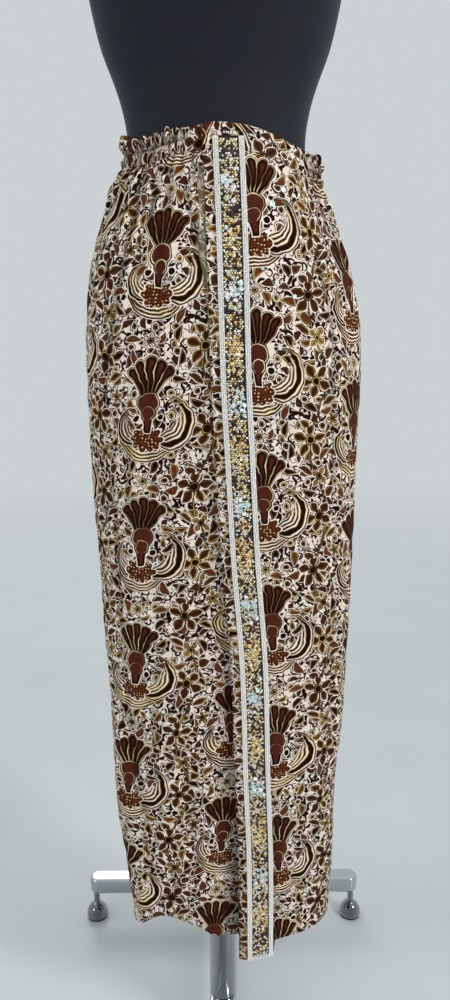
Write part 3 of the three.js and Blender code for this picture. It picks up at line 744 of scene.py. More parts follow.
# %% The wrap panel's turned edge
def turned_edge():
    z = np.linspace(1166, 196, 210)[:, None]
    peep = 7.0 * ease((z - 1035) / 40) * ease((1178 - z) / 22) + 1.2 * ease((z - 900) / 150)
    mm = -peep + (20 + peep) * np.linspace(0, 1, 10)[None, :]
    wavy = 0.25 * np.sin(z / 9) * np.exp(-((mm + peep) / 4))
    visible = wrap_point(mm, 0, z, -1.5 + wavy)
    hidden = wrap_point(mm, 0, z, -2.1 + wavy)
    return shell("wrap_edge_turning", hidden[:, ::-1], visible[:, ::-1], mm[:, ::-1] + 300, z)


edge_turning = turned_edge()
print("turned edge:", triangles(edge_turning), "triangles")

# %% Stitches
def stitches(name, lines, thick=0.34):
    """Short rounded threads from the first to the last point of each pair, lying a hair off the cloth."""
    segments = 5
    starts, ends, lifts = (np.concatenate([line[k] for line in lines]) for k in range(3))
    along = ends - starts
    length = np.linalg.norm(along, axis=1, keepdims=True)
    along = along / np.maximum(length, 1e-6)
    lift = lifts - (lifts * along).sum(1, keepdims=True) * along
    lift /= np.maximum(np.linalg.norm(lift, axis=1, keepdims=True), 1e-6)
    side = np.cross(along, lift)
    rings = ((0.0, 0.05, 0.0), (0.12, 0.8, 0.5), (0.5, 1.0, 0.9), (0.88, 0.8, 0.5), (1.0, 0.05, 0.0))
    points = []
    for share, size, rise in rings:
        middle = starts + along * length * share + lift * thick * rise
        for k in range(segments):
            turn = math.tau * k / segments
            points.append(middle + thick * size * (lift * math.cos(turn) + side * math.sin(turn)))
    points = np.stack(points, 1)
    faces = []
    for r in range(len(rings) - 1):
        for k in range(segments):
            n = (k + 1) % segments
            a, b = r * segments, (r + 1) * segments
            faces += [(a + k, a + n, b + n), (a + k, b + n, b + k)]
    for base, order in ((0, -1), ((len(rings) - 1) * segments, 1)):
        for k in range(1, segments - 1):
            faces.append((base, base + k, base + k + 1)[::order])
    faces = np.array(faces)
    numbers = faces[None] + points.shape[1] * np.arange(len(points))[:, None, None]
    return write_mesh(name, points.reshape(-1, 3), numbers.reshape(-1, 3))


def sewn_row(grid, row, step, span, first=2, last=-2):
    """Pairs of points along one row of a grid, and which way is off the cloth."""
    normal = surface_normals(grid)
    if normal[len(grid) // 3, :, :2].ravel() @ grid[len(grid) // 3, :, :2].ravel() < 0:
        normal = -normal
    line, off = grid[row], normal[row]
    start = np.arange(first, len(line) + last - span, step)
    return line[start] + 0.05 * off[start], line[start + span] + 0.05 * off[start + span], off[start]


HEM_ROW = -4
hem_thread = stitches(
    "hem_stitches",
    [
        sewn_row(under_grid, HEM_ROW, 2, 1, 2, -60),
        sewn_row(wrap_grid, HEM_ROW, 2, 1, 20),
        sewn_row(back_grid, HEM_ROW, 2, 1),
    ],
)
WAIST_ROWS = ((waist_under_grid, 4, -110), (waist_front_grid, 2, -2), (waist_back_grid, 4, -2))
waist_thread = stitches(
    "waistband_stitches",
    [
        sewn_row(grid, row, step, 2, 2, last)
        for grid, step, last in WAIST_ROWS
        for row in (2, 16)
    ],
    0.28,
)
print("stitches:", triangles(hem_thread) + triangles(waist_thread), "triangles")

# %% [markdown]
# ## The beaded band
#
# A tape is sewn down the wrap panel's edge and covered with beads: a rope of white seed beads along
# each side, and between the ropes a field of gold, copper and dark beads with clusters of pale sequins.
# Every bead here is a small mesh of its own, set into one object for each kind of work. A bump in a
# material would look flat from the side, and beads are what the eye goes to first.

# %% Tape under the beads
TAPE_FLOOR, TAPE = 0.4, 1.2
BEAD_FLOOR = TAPE_FLOOR + TAPE + 0.3
band_round = float(round_from_centre(band_centre(WAIST_Z), WAIST_Z))
BAND_TOP = float(top_at(band_round)) - 13

tape_z = np.linspace(BAND_TOP, BAND_END_Z, 200)[:, None]
tape_mm = np.linspace(LEAD_STRIP, LEAD_STRIP + BAND_WIDTH, 12)[None, :]
tape = shell(
    "band_tape_cloth",
    wrap_point(tape_mm, 0, tape_z, TAPE_FLOOR + TAPE),
    wrap_point(tape_mm, 0, tape_z, TAPE_FLOOR),
    tape_mm, tape_z,
)
print("tape length", round(BAND_TOP - BAND_END_Z), "mm")

# %% One object from many beads
def bead_form(segments, rings, flat=1.0):
    """A small round bead of radius 1: points and faces, squashed along its own axis."""
    points = [(0, 0, flat)]
    for ring in range(1, rings + 1):
        lat = math.pi * ring / (rings + 1)
        for s in range(segments):
            turn = math.tau * (s + 0.5 * ring) / segments
            x, y = math.sin(lat) * math.cos(turn), math.sin(lat) * math.sin(turn)
            points.append((x, y, flat * math.cos(lat)))
    points.append((0, 0, -flat))
    faces = []
    last = len(points) - 1
    for s in range(segments):
        t = (s + 1) % segments
        faces.append((0, 1 + s, 1 + t))
        faces.append((last, last - segments + t, last - segments + s))
        for ring in range(rings - 1):
            a, b = 1 + ring * segments, 1 + (ring + 1) * segments
            faces.append((a + s, b + s, a + t))
            faces.append((a + t, b + s, b + t))
    return np.array(points), np.array(faces)


def sew_on(name, form, places, facing, radius, tint):
    """Sets a copy of a bead form at every place, its axis along facing, with a colour of its own."""
    shape, faces = form
    facing = facing / np.linalg.norm(facing, axis=1, keepdims=True)
    side = np.cross(facing, [0.0, 0.0, 1.0])
    side /= np.maximum(np.linalg.norm(side, axis=1, keepdims=True), 1e-6)
    upward = np.cross(side, facing)
    axes = np.stack([side, upward, facing], 1)
    points = places[:, None] + radius[:, None, None] * (shape @ axes)
    numbers = faces[None] + len(shape) * np.arange(len(places))[:, None, None]
    piece = write_mesh(name, points.reshape(-1, 3), numbers.reshape(-1, 3))
    layer = piece.data.color_attributes.new("tint", "FLOAT_COLOR", "POINT")
    rgba = np.concatenate([tint, np.ones((len(tint), 1))], 1)
    layer.data.foreach_set("color", np.repeat(rgba, len(shape), 0).ravel())
    return piece


def wrap_normal(mm, z):
    """Which way the band faces at each place."""
    sideways = wrap_point(mm + 1, 0, z, 0) - wrap_point(mm - 1, 0, z, 0)
    upright = wrap_point(mm, 0, z + 2, 0) - wrap_point(mm, 0, z - 2, 0)
    normal = np.cross(sideways, upright)
    return normal / np.linalg.norm(normal, axis=-1, keepdims=True)


print("bead of", len(bead_form(8, 3)[1]), "faces")

# %% [markdown]
# Each white rope is three rows of seed beads, the middle row riding on the other two. The rows are
# staggered and every bead is a hair out of line, as hand-sewn beads are.

# %% White bead edgings
ROPE_WIDTH = 6
SEED = 0.98  # radius of a white seed bead


def rope(name, from_mm, seed):
    draw = np.random.default_rng(seed)
    rows = []
    for across, lift, start in ((1.0, 0.0, 0.0), (3.0, 0.75, 0.5), (5.0, 0.0, 0.1)):
        z = np.arange(BAND_END_Z + 1 + start, BAND_TOP - 0.6, 1.86)
        rows.append(np.stack([np.full(len(z), from_mm + across), z, np.full(len(z), lift)], -1))
    mm, z, lift = np.concatenate(rows).T
    mm, z = mm + draw.normal(0, 0.14, len(z)), z + draw.normal(0, 0.16, len(z))
    radius = SEED * draw.uniform(0.9, 1.08, len(z))
    facing = wrap_normal(mm, z) + draw.normal(0, 0.25, (len(z), 3))
    places = wrap_point(mm, 0, z, BEAD_FLOOR + 0.85 + lift)
    shade = 0.93 + 0.06 * draw.random((len(z), 1))
    pearl = shade + np.array([[0.01, -0.01, -0.05]]) * draw.normal(1, 0.5, (len(z), 1))
    return sew_on(name, bead_form(6, 3, 0.85), places, facing, radius, pearl)


rope_left = rope("white_bead_rope_left", LEAD_STRIP, 5)
rope_right = rope("white_bead_rope_right", LEAD_STRIP + BAND_WIDTH - ROPE_WIDTH, 6)
print("rope:", triangles(rope_left), "triangles")

# %% [markdown]
# The field changes colour along its length: a cluster of pale, shimmering sequins about every twelve
# centimetres, bright gold halfway between, and copper and dark brown beads in the stretches between
# those. Colours are drawn from small lists with chances that depend on how far the nearest cluster is.

# %% Bead field with sequin clusters
CLUSTERS = np.array([1147, 1035, 919, 804, 685, 566, 444, 314])
GOLDS = np.array([(0.80, 0.54, 0.16), (0.90, 0.68, 0.28), (0.62, 0.32, 0.09), (0.94, 0.80, 0.50)])
DARKS = np.array([(0.035, 0.012, 0.008), (0.07, 0.020, 0.012), (0.17, 0.055, 0.020), (0.02, 0.012, 0.012)])
CLEARS = np.array([(0.92, 0.86, 0.76), (0.78, 0.68, 0.52), (0.96, 0.93, 0.90), (0.66, 0.58, 0.26)])
PALES = np.array([(0.62, 0.84, 0.84), (0.88, 0.90, 0.92), (0.50, 0.72, 0.66), (0.80, 0.76, 0.90)])


def cluster_phase(z):
    """0 at a pale cluster and 0.5 halfway to the next."""
    order = np.sort(np.append(CLUSTERS, [1262, 196]))
    i = np.clip(np.searchsorted(order, z) - 1, 0, len(order) - 2)
    return (z - order[i]) / (order[i + 1] - order[i])


def bead_field():
    draw = np.random.default_rng(17)
    left, right = LEAD_STRIP + ROPE_WIDTH + 1.1, LEAD_STRIP + BAND_WIDTH - ROPE_WIDTH - 1.1
    pitch = 2.7
    rows = int((BAND_TOP - BAND_END_Z - 9) / (pitch * 0.88))
    z = BAND_END_Z + 7.5 + np.arange(rows) * pitch * 0.88
    across = np.arange(left, right, pitch)
    mm, z = np.meshgrid(across, z)
    mm = mm + (np.arange(rows) % 2)[:, None] * pitch / 2
    mm, z = mm.ravel() + draw.normal(0, 0.22, mm.size), z.ravel() + draw.normal(0, 0.22, z.size)
    mm = np.clip(mm, left, right)
    phase = cluster_phase(z)
    near_pale = np.minimum(phase, 1 - phase)
    near_gold = np.abs(phase - 0.5)
    chance = np.stack(
        [
            0.55 + 1.6 * np.exp(-((near_gold / 0.13) ** 2)),
            0.70 + 0.8 * np.exp(-(((near_pale - 0.26) / 0.1) ** 2)),
            1.00 + 0 * z,
            0.03 + 1.6 * np.exp(-((near_pale / 0.075) ** 2)),
        ]
    )
    chance = np.cumsum(chance / chance.sum(0), 0)
    kind = (draw.random(len(z))[None] > chance).sum(0)
    pick = draw.integers(0, 4, len(z))
    tint = np.stack([GOLDS, DARKS, CLEARS, PALES])[kind, pick] * draw.uniform(0.75, 1.2, (len(z), 1))
    radius = draw.uniform(1.15, 1.5, len(z))
    facing = wrap_normal(mm, z) + draw.normal(0, 0.2, (len(z), 3))
    places = wrap_point(mm, 0, z, BEAD_FLOOR + 0.8 + draw.uniform(0, 0.6, len(z)))
    return sew_on("bead_field", bead_form(8, 3, 0.8), places, facing, radius, np.clip(tint, 0, 1))


field = bead_field()
print("bead field:", triangles(field), "triangles")

# %% Sequins, and the white beads that close the band's end
def sequin_form(segments=10):
    """A thin cupped disc of radius 1 with a closed back."""
    points, faces = [(0, 0, 0.10), (0, 0, -0.02)], []
    for radius, height in ((0.55, 0.14), (1.0, 0.30), (1.0, 0.22)):
        for s in range(segments):
            turn = math.tau * s / segments
            points.append((radius * math.cos(turn), radius * math.sin(turn), height))
    for s in range(segments):
        t = (s + 1) % segments
        a, b, c = 2, 2 + segments, 2 + 2 * segments
        faces += [(0, a + s, a + t), (a + s, b + s, a + t), (a + t, b + s, b + t)]
        faces += [(b + s, c + s, b + t), (b + t, c + s, c + t), (1, c + t, c + s)]
    return np.array(points, float), np.array(faces)


def sequins():
    draw = np.random.default_rng(29)
    left, right = LEAD_STRIP + ROPE_WIDTH + 2.6, LEAD_STRIP + BAND_WIDTH - ROPE_WIDTH - 2.6
    mm, z, radius, tint = [], [], [], []
    for centre in CLUSTERS:
        for _ in range(17):
            mm.append(draw.uniform(left, right))
            z.append(centre + draw.normal(0, 8.5))
            radius.append(draw.uniform(1.9, 2.7))
            tint.append(PALES[draw.integers(0, 4)] * draw.uniform(0.85, 1.1))
    for low, high in zip(CLUSTERS[1:], CLUSTERS[:-1]):
        for _ in range(12):
            mm.append(draw.uniform(left, right))
            z.append((low + high) / 2 + draw.normal(0, 12))
            radius.append(draw.uniform(1.5, 2.1))
            tint.append(GOLDS[draw.integers(0, 4)] * draw.uniform(0.9, 1.2))
    mm, z, radius = np.array(mm), np.array(z), np.array(radius)
    facing = wrap_normal(mm, z) + draw.normal(0, 0.3, (len(z), 3))
    places = wrap_point(mm, 0, z, BEAD_FLOOR + 1.5 + draw.uniform(0, 0.5, len(z)))
    return sew_on("sequins", sequin_form(), places, facing, radius, np.clip(tint, 0, 1))


def end_beads():
    draw = np.random.default_rng(31)
    mm, row = np.meshgrid(np.arange(LEAD_STRIP + 1, LEAD_STRIP + BAND_WIDTH, 1.9), np.arange(3))
    mm, z = mm.ravel() + draw.normal(0, 0.15, mm.size), BAND_END_Z + 1.1 + 1.8 * row.ravel()
    places = wrap_point(mm, 0, z, BEAD_FLOOR + 0.9)
    pearl = np.full((len(z), 3), 0.86) + draw.normal(0, 0.03, (len(z), 3))
    radius = np.full(len(z), 0.95)
    return sew_on("end_beads", bead_form(6, 3, 0.85), places, wrap_normal(mm, z), radius, pearl)


def stray_sequins():
    """A few single sequins sewn to the print beside the band, most of them near the waist."""
    draw = np.random.default_rng(41)
    mm = np.array([70.0, 84, 63, 101, 58, 92, 75, 66, 110, 61, 88, 71])
    z = np.array([1127.0, 1142, 1098, 1093, 1060, 1032, 978, 905, 858, 742, 610, 430])
    places = wrap_point(mm, 0, z, 1.6)
    tint = PALES[draw.integers(0, 4, len(z))]
    radius = np.append([3.6, 3.2], draw.uniform(1.6, 2.4, len(z) - 2))
    return sew_on("stray_sequins", sequin_form(), places, wrap_normal(mm, z), radius, np.clip(tint, 0, 1))


sequin_work = sequins()
strays = stray_sequins()
band_end = end_beads()
print("sequins:", triangles(sequin_work), "triangles")

# %% [markdown]
# ## The dress form
#
# The form is a smooth moulded body with a dark flocked cover, cut off at the neck under a flat cap. It
# is turned from the same rows as its solid but with many more points, so its outline against the pale
# wall is a clean curve.

# %% Torso, and the cap at its neck
FORM = table(
    "z half front back power",
    (880, 140, 92, 110, 2.35), (915, 149, 99, 117, 2.4), (975, 151, 102, 120, 2.4),
    (1020, 148, 102, 119, 2.4), (1060, 142, 99, 114, 2.38), (1090, 132, 95, 108, 2.35),
    (1120, 120, 90, 100, 2.3), (1145, 111, 86, 93, 2.25), (1165, 104, 82.8, 88, 2.2),
    (1190, 100.7, 80.6, 84.4, 2.2), (1215, 101.4, 79.8, 83.5, 2.2), (1240, 105.8, 80.8, 84.6, 2.2),
    (1264, 113, 84, 87, 2.2), (1305, 128, 95, 92.5, 2.2), (1355, 139, 112, 98, 2.2),
    (1390, 144, 116, 101, 2.2), (1430, 148, 107, 103, 2.2), (1470, 154, 93, 100, 2.2),
    (1505, 161, 79, 92, 2.2), (1532, 163, 68, 81, 2.15), (1552, 152, 60, 71, 2.1),
    (1568, 128, 54, 63, 2.05), (1584, 94, 50, 57, 2), (1602, 68, 48, 53, 2),
    (1624, 55, 47, 50, 2), (1665, 52, 48, 50, 2),
)


def closed_loft(name, rings):
    """A closed body from level rings of equal count, with its ends capped by fans."""
    count, around = len(rings), rings.shape[1]
    grid = np.arange(count * around).reshape(count, around)
    grid = np.concatenate([grid, grid[:, :1]], 1)
    body = quads(grid)
    low, high = count * around, count * around + 1
    points = np.concatenate([rings.reshape(-1, 3), [rings[0].mean(0)], [rings[-1].mean(0)]])
    ends = [
        np.stack([np.full(around, low), grid[0, 1:], grid[0, :-1], grid[0, :-1]], -1),
        np.stack([np.full(around, high), grid[-1, :-1], grid[-1, 1:], grid[-1, 1:]], -1),
    ]
    faces = [tuple(f) for f in body.tolist()] + [tuple(f[:3]) for e in ends for f in e.tolist()]
    mesh = bpy.data.meshes.new(name)
    mesh.from_pydata(points * MM, [], faces)
    mesh.shade_smooth()
    edges = {tuple(sorted(k)): i for i, k in enumerate(mesh.edge_keys)}
    sharp = mesh.attributes.new("sharp_edge", "BOOLEAN", "EDGE")
    for ring in (grid[0], grid[-1]):
        for a, b in zip(ring[:-1], ring[1:]):
            sharp.data[edges[tuple(sorted((int(a), int(b))))]].value = True
    piece = bpy.data.objects.new(name, mesh)
    bpy.context.scene.collection.objects.link(piece)
    return piece


def form_rings():
    angle = np.linspace(0, math.tau, 129)[:-1][None, :]
    z = np.linspace(FORM["z"][0], FORM["z"][-1], 200)[:, None]
    half, front, back, power = (read(FORM, "z", z, c) for c in ("half", "front", "back", "power"))
    flat = oval(half, half, front, back, power, angle)
    return np.concatenate([flat, np.broadcast_to(z[..., None], flat.shape[:2] + (1,))], -1)


dress_form = closed_loft("dress_form_body", form_rings())
print("dress form:", triangles(dress_form), "triangles")

# %% [markdown]
# ## The stand
#
# A chromed tube rises from an H-shaped base with bell glides. Turned parts are made from a profile, as
# on a lathe, and bars from a rounded outline whose edges are eased, since a bright metal edge shows
# every hard corner.

# %% Turned parts
def turned(name, profile, place=(0, 0, 0), around=64):
    """A closed part turned about an upright axis from a profile of (radius, height)."""
    angle = np.linspace(0, math.tau, around + 1)[:-1]
    radius, height = np.array(profile, float).T
    ring = np.stack([np.cos(angle), np.sin(angle)], -1)
    flat = radius[:, None, None] * ring[None]
    tall = np.broadcast_to(height[:, None, None], flat.shape[:2] + (1,))
    return closed_loft(name, np.concatenate([flat, tall], -1) + np.array(place))


def eased(radius, low, high, ease_by, count=4):
    """Profile of a disc or tube with its two edges rounded."""
    turn = np.linspace(0, math.pi / 2, count + 1)
    start = [(radius - ease_by * (1 - math.sin(a)), low + ease_by * (1 - math.cos(a))) for a in turn]
    end = [(radius - ease_by * (1 - math.cos(a)), high - ease_by * (1 - math.sin(a))) for a in turn]
    return start + end


neck_cap = turned("neck_cap_disc", eased(50, 1665.3, 1672.3, 2), (0, 1, 0))
pole = turned("pole_tube", eased(19, 80.3, 871.4, 0.6))
flange = turned("pole_flange_disc", eased(45, 871.7, 879.7, 1.2))


def bell_profile():
    """A domed foot with a rolled lip and a slim threaded stem."""
    base, top, stem_top = 3.3, 28, 52.7
    rise = np.radians(np.linspace(0, 68, 12))
    dome = [(18 * math.cos(a), base + 4 + (top - base - 4) * math.sin(a)) for a in rise]
    lip = [(17.0, base), (17.7, base + 0.6), (18.0, base + 1.6)]
    threads = []
    for z in np.arange(top + 3, stem_top - 3, 1.5):
        threads += [(4.4, z), (5.0, z + 0.75)]
    return lip + dome + [(6.5, top + 0.1), (5.0, top + 1)] + threads + [(5.0, stem_top - 1), (5.0, stem_top)]


glides, pads = [], []
for place, y in (("front", -245), ("rear", 245)):
    for hand, x in (("left", -221), ("right", 221)):
        glides.append(turned(f"bell_glide_{place}_{hand}", bell_profile(), (x, y, 0), 48))
        ridge = [(16.5, 0), (16.5, 0.6), (16.0, 0.9), (16.5, 1.2), (16.5, 2.4), (16.0, 2.7), (15.6, 3.0)]
        pads.append(turned(f"rubber_pad_{place}_{hand}", ridge, (x, y, 0), 48))
print("turned parts:", 3 + len(glides) + len(pads))

# %% Bars
def stadium(half_length, radius, count=24):
    """Outline of a bar with round ends, along X."""
    angle = np.linspace(-math.pi / 2, math.pi / 2, count)
    right = np.stack([half_length + radius * np.cos(angle), radius * np.sin(angle)], -1)
    return np.concatenate([right, -right])


def crossbar(name, y):
    bevel, width, height, half = 5, 30, 27, 462 / 2 - 15
    turn = np.linspace(0, math.pi / 2, 7)
    steps_low = [(width / 2 - bevel * (1 - math.sin(a)), 53 + bevel * (1 - math.cos(a))) for a in turn]
    steps_high = [(r, 53 + height - (z - 53)) for r, z in reversed(steps_low)]
    rings = []
    for radius, z in steps_low + steps_high:
        outline = stadium(half, radius)
        rings.append(np.concatenate([outline + [0, y], np.full((len(outline), 1), z)], 1))
    return closed_loft(name, np.array(rings))


def spine():
    corner, half_wide, half_high, length = 4, 38 / 2 - 4, 27 / 2 - 4, 2 * 245 - 30 - 0.6
    outline = []
    for k, (x, z) in enumerate(((1, -1), (1, 1), (-1, 1), (-1, -1))):
        for a in np.linspace(0, math.pi / 2, 6) + (k - 1) * math.pi / 2:
            outline.append((x * half_wide + corner * math.cos(a), z * half_high + corner * math.sin(a)))
    outline = np.array(outline)
    ends = np.array([-length / 2, -length / 2 + 0.5, length / 2 - 0.5, length / 2])
    rings = []
    for i, y in enumerate(ends):
        shrink = 0.985 if i in (0, 3) else 1.0
        flat = outline * shrink
        rings.append(np.stack([flat[:, 0], np.full(len(flat), y), flat[:, 1] + 66.5], -1))
    return closed_loft("spine_bar", np.array(rings))


crossbars = [crossbar("crossbar_front_bar", -245), crossbar("crossbar_rear_bar", 245)]
spine_bar = spine()
print("bars:", sum(map(triangles, crossbars)) + triangles(spine_bar), "triangles")

# %% [markdown]
# ## Writing a material as arithmetic
#
# A print is drawing, and drawing by hand with hundreds of node boxes is slow. Here a small class stands
# for "one number at every point of the cloth", and ordinary arithmetic on it adds the Math nodes. The
# material that comes out is a normal node material.

# %% A field of numbers
class Field:
    """One number at each point of a surface; arithmetic on it adds nodes to the material being made."""

    tree = None

    def __init__(self, socket):
        self.socket = socket

    def __add__(self, other):
        return math_node("ADD", self, other)

    __radd__ = __add__

    def __sub__(self, other):
        return math_node("SUBTRACT", self, other)

    def __rsub__(self, other):
        return math_node("SUBTRACT", other, self)

    def __mul__(self, other):
        return math_node("MULTIPLY", self, other)

    __rmul__ = __mul__

    def __truediv__(self, other):
        return math_node("DIVIDE", self, other)


def feed(socket, value):
    if isinstance(value, Field):
        value = value.socket
    if isinstance(value, bpy.types.NodeSocket):
        Field.tree.links.new(value, socket)
    else:
        socket.default_value = value


def add_node(kind, inputs, **settings):
    node = Field.tree.nodes.new(kind)
    for key, value in settings.items():
        setattr(node, key, value)
    for key, value in inputs.items():
        feed(node.inputs[key], value)
    return node


def math_node(operation, *values, clamp=False):
    inputs = dict(enumerate(values))
    return Field(add_node("ShaderNodeMath", inputs, operation=operation, use_clamp=clamp).outputs[0])


def absolute(a):
    return math_node("ABSOLUTE", a)


def least(*fields):
    found = fields[0]
    for other in fields[1:]:
        found = math_node("MINIMUM", found, other)
    return found


def most(*fields):
    found = fields[0]
    for other in fields[1:]:
        found = math_node("MAXIMUM", found, other)
    return found


def hypot(x, y):
    return math_node("SQRT", math_node("MULTIPLY_ADD", x, x, y * y))


def cover(distance, reach, soft=0.4):
    """1 where distance is below reach and 0 above it, with a soft edge."""
    return math_node("MULTIPLY_ADD", distance, -1 / soft, reach / soft + 0.5, clamp=True)


def point_at(x, y, z=0.0):
    return add_node("ShaderNodeCombineXYZ", {"X": x, "Y": y, "Z": z}).outputs[0]


def noise(vector, scale, detail):
    inputs = {"Vector": vector, "Scale": scale, "Detail": detail}
    return Field(add_node("ShaderNodeTexNoise", inputs).outputs[0])


def linear(code):
    """A colour written as a hex code, as the shader wants it."""
    values = [int(code[i : i + 2], 16) / 255 for i in (0, 2, 4)]
    return (*[v / 12.92 if v <= 0.04045 else ((v + 0.055) / 1.055) ** 2.4 for v in values], 1.0)


def blend(under, over, mask):
    node = add_node("ShaderNodeMix", {0: mask, 6: under, 7: over}, data_type="RGBA")
    return node.outputs[2]


def new_material(name):
    material = bpy.data.materials.new(name)
    material.use_nodes = True
    Field.tree = material.node_tree
    Field.tree.nodes.clear()
    shader = add_node("ShaderNodeBsdfPrincipled", {})
    output = add_node("ShaderNodeOutputMaterial", {})
    Field.tree.links.new(shader.outputs[0], output.inputs[0])
    return material, shader


def bump(height, distance, strength=1.0):
    """Relief of a given depth, in metres."""
    inputs = {"Height": height, "Distance": distance, "Strength": strength}
    return add_node("ShaderNodeBump", inputs).outputs[0]


print("fields ready")

# %% [markdown]
# ## The print
#
# Batik is wax-resist work: the ground stays cream where wax kept the dye off, the outlines are dark, and
# gold is painted along them at the end. The cloth is crowded. Large fans with crescent wings stand in
# offset columns, flowers stand between the columns, and leaves, berries, curls and tendrils fill what is
# left. Each shape is written as a distance to its outline in millimetres, negative inside, because then
# a dark line, a gold line and a pale halo round it are only three thresholds of one number.

# %% Shapes of the print
def seen_from(x, y, at_x, at_y, degrees=0.0):
    """Coordinates measured from a place, along an axis turned by some degrees."""
    x, y = x - at_x, y - at_y
    if degrees == 0:
        return x, y
    c, s = math.cos(math.radians(degrees)), math.sin(math.radians(degrees))
    return x * c + y * s, y * c - x * s


def leaf(x, y, length, width):
    """Pointed at both ends, lying along x."""
    bow = math_node("MULTIPLY_ADD", x * x, 2 * width / length**2, absolute(y))
    return bow - width / 2


def flower(x, y, petals, petal_length, petal_width, inner):
    """Petals standing round a centre. Gives the petals, the distance from the centre, and the veins."""
    radius = hypot(x, y)
    folded = math_node("PINGPONG", math_node("ARCTAN2", y, x) + 20.0, math.pi / petals)
    along = radius * math_node("COSINE", folded) - (inner + petal_length / 2)
    beside = radius * math_node("SINE", folded)
    return leaf(along, beside, petal_length, petal_width), radius, beside


def fan(x, y):
    """Five long rounded fingers that spread upward from a point."""
    step = math.radians(15.5)
    angle = math_node("ARCTAN2", x, y)
    index = math_node("ROUND", math_node("MINIMUM", math_node("MAXIMUM", angle / step, -2.0), 2.0))
    local = angle - index * step
    radius = hypot(x, y)
    along, beside = radius * math_node("COSINE", local), radius * math_node("SINE", local)
    tip = 47.0 - absolute(index) * 2.2
    width = math_node("MINIMUM", along * 0.127, 5.8)
    beyond = math_node("MAXIMUM", along - tip + 4.0, 0.0)
    return hypot(beside, beyond) - width


def wing(x, y, middle, spread, radius, opens, thickness, feathers):
    """Nested crescents round a point. Gives the outline, the distance to the nearest feather's edge,
    and the place across the wing from 0 on its inner edge to 1 on its outer one."""
    turn = (math_node("ARCTAN2", y, x) - math.radians(middle)) / math.radians(spread)
    thick = thickness * (1.0 - turn * turn)
    off = hypot(x, y) - (turn * opens + radius)
    safe = most(thick, 0.5)
    share = off / safe + 0.5
    reach = math_node("FLOOR", share * feathers) * (0.6 / feathers) + 0.42
    split = math_node("PINGPONG", share * feathers, 0.5)
    tip = (turn - reach) * (radius * math.radians(spread)) + (0.5 - split) * 15.0
    outline = most(absolute(off) - thick / 2, tip)
    edge = split * safe / feathers
    return outline, least(edge, absolute(tip)), share


def scattered(u, v, size, shift):
    """Places strewn about size apart: x and y measured from the nearest, and two numbers of its own."""
    at_u, at_v = u * (1 / size) + shift, v * (1 / size) + shift * 1.7
    inputs = {"Vector": point_at(at_u, at_v), "Scale": 1.0, "Randomness": 0.38}
    node = add_node("ShaderNodeTexVoronoi", inputs, voronoi_dimensions="2D")
    place = add_node("ShaderNodeSeparateXYZ", {0: node.outputs["Position"]})
    own = add_node("ShaderNodeSeparateColor", {0: node.outputs["Color"]})
    x, y = (at_u - Field(place.outputs[0])) * size, (at_v - Field(place.outputs[1])) * size
    return x, y, Field(own.outputs[0]), Field(own.outputs[1])


def turned_own_way(x, y, own):
    """Coordinates turned by an angle of the place's own."""
    turn = own * math.tau
    c, s = math_node("COSINE", turn), math_node("SINE", turn)
    return x * c + y * s, y * c - x * s


def strewn_leaf(u, v, size, shift, length, width, bend):
    """A bent leaf at every strewn place, each turned its own way."""
    x, y, own, other = scattered(u, v, size, shift)
    along, beside = turned_own_way(x, y, own)
    beside = math_node("MULTIPLY_ADD", along * along, bend, beside - bend * length * length / 12)
    return leaf(along, beside, length, width), other


def strewn_curl(u, v, size, shift, radius, thick):
    """A comma-shaped tendril at every strewn place, opening and thickening as it goes round."""
    x, y, own, _ = scattered(u, v, size, shift)
    along, beside = turned_own_way(x, y, own)
    turn = math_node("ARCTAN2", beside, along) / math.pi
    off = absolute(hypot(along, beside) - (turn * 0.5 + 1.0) * radius)
    return off - (turn * 0.55 + 0.75) * thick


def strewn_sprig(u, v, size, shift, length, width):
    """Three little leaves on a point, each sprig turned its own way."""
    x, y, own, other = scattered(u, v, size, shift)
    along, beside = turned_own_way(x, y, own)
    return flower(along, beside, 3.0, length, width, 0.6)[0], other


print("shapes ready")

# %% Dyes, and laying them over one another
CREAM, DARK, BROWN, RUST = "FDEADA", "200B03", "462311", "6C321B"
WINE = "50251C"
GOLD, OCHRE, TAN, PALE_GOLD = "D0B252", "967636", "73573A", "E6D3A4"
COLUMN, DROP = 126.0, 155.0  # the motif's spacing across and up


class Print:
    """Dye and gold laid over one another; the last one laid is on top."""

    def __init__(self, ground, gilded):
        self.colour, self.gold, self.gilded = ground, None, gilded

    def lay(self, mask, code):
        self.colour = blend(self.colour, linear(code), mask)
        self.gold = self.gold * (1.0 - mask) if self.gold else mask * 0.0

    def gild(self, mask, code=GOLD):
        """A painted line: bright gold where the paint is thick, a dull tan where it has rubbed off."""
        self.colour = blend(self.colour, linear(TAN), mask)
        painted = mask * self.gilded
        self.colour = blend(self.colour, linear(code), painted)
        self.gold = most(self.gold, painted)

    def outlined(self, shape, body, halo, line, rim=0.0):
        """A shape with a pale halo, a dark line, a painted rim inside the line and its own body."""
        if halo:
            self.lay(cover(shape, halo), CREAM)
        self.lay(cover(shape, 0.0), DARK)
        if rim:
            self.gild(cover(absolute(shape + line + rim / 2), rim / 2))
        self.lay(cover(shape, -line - rim), body)


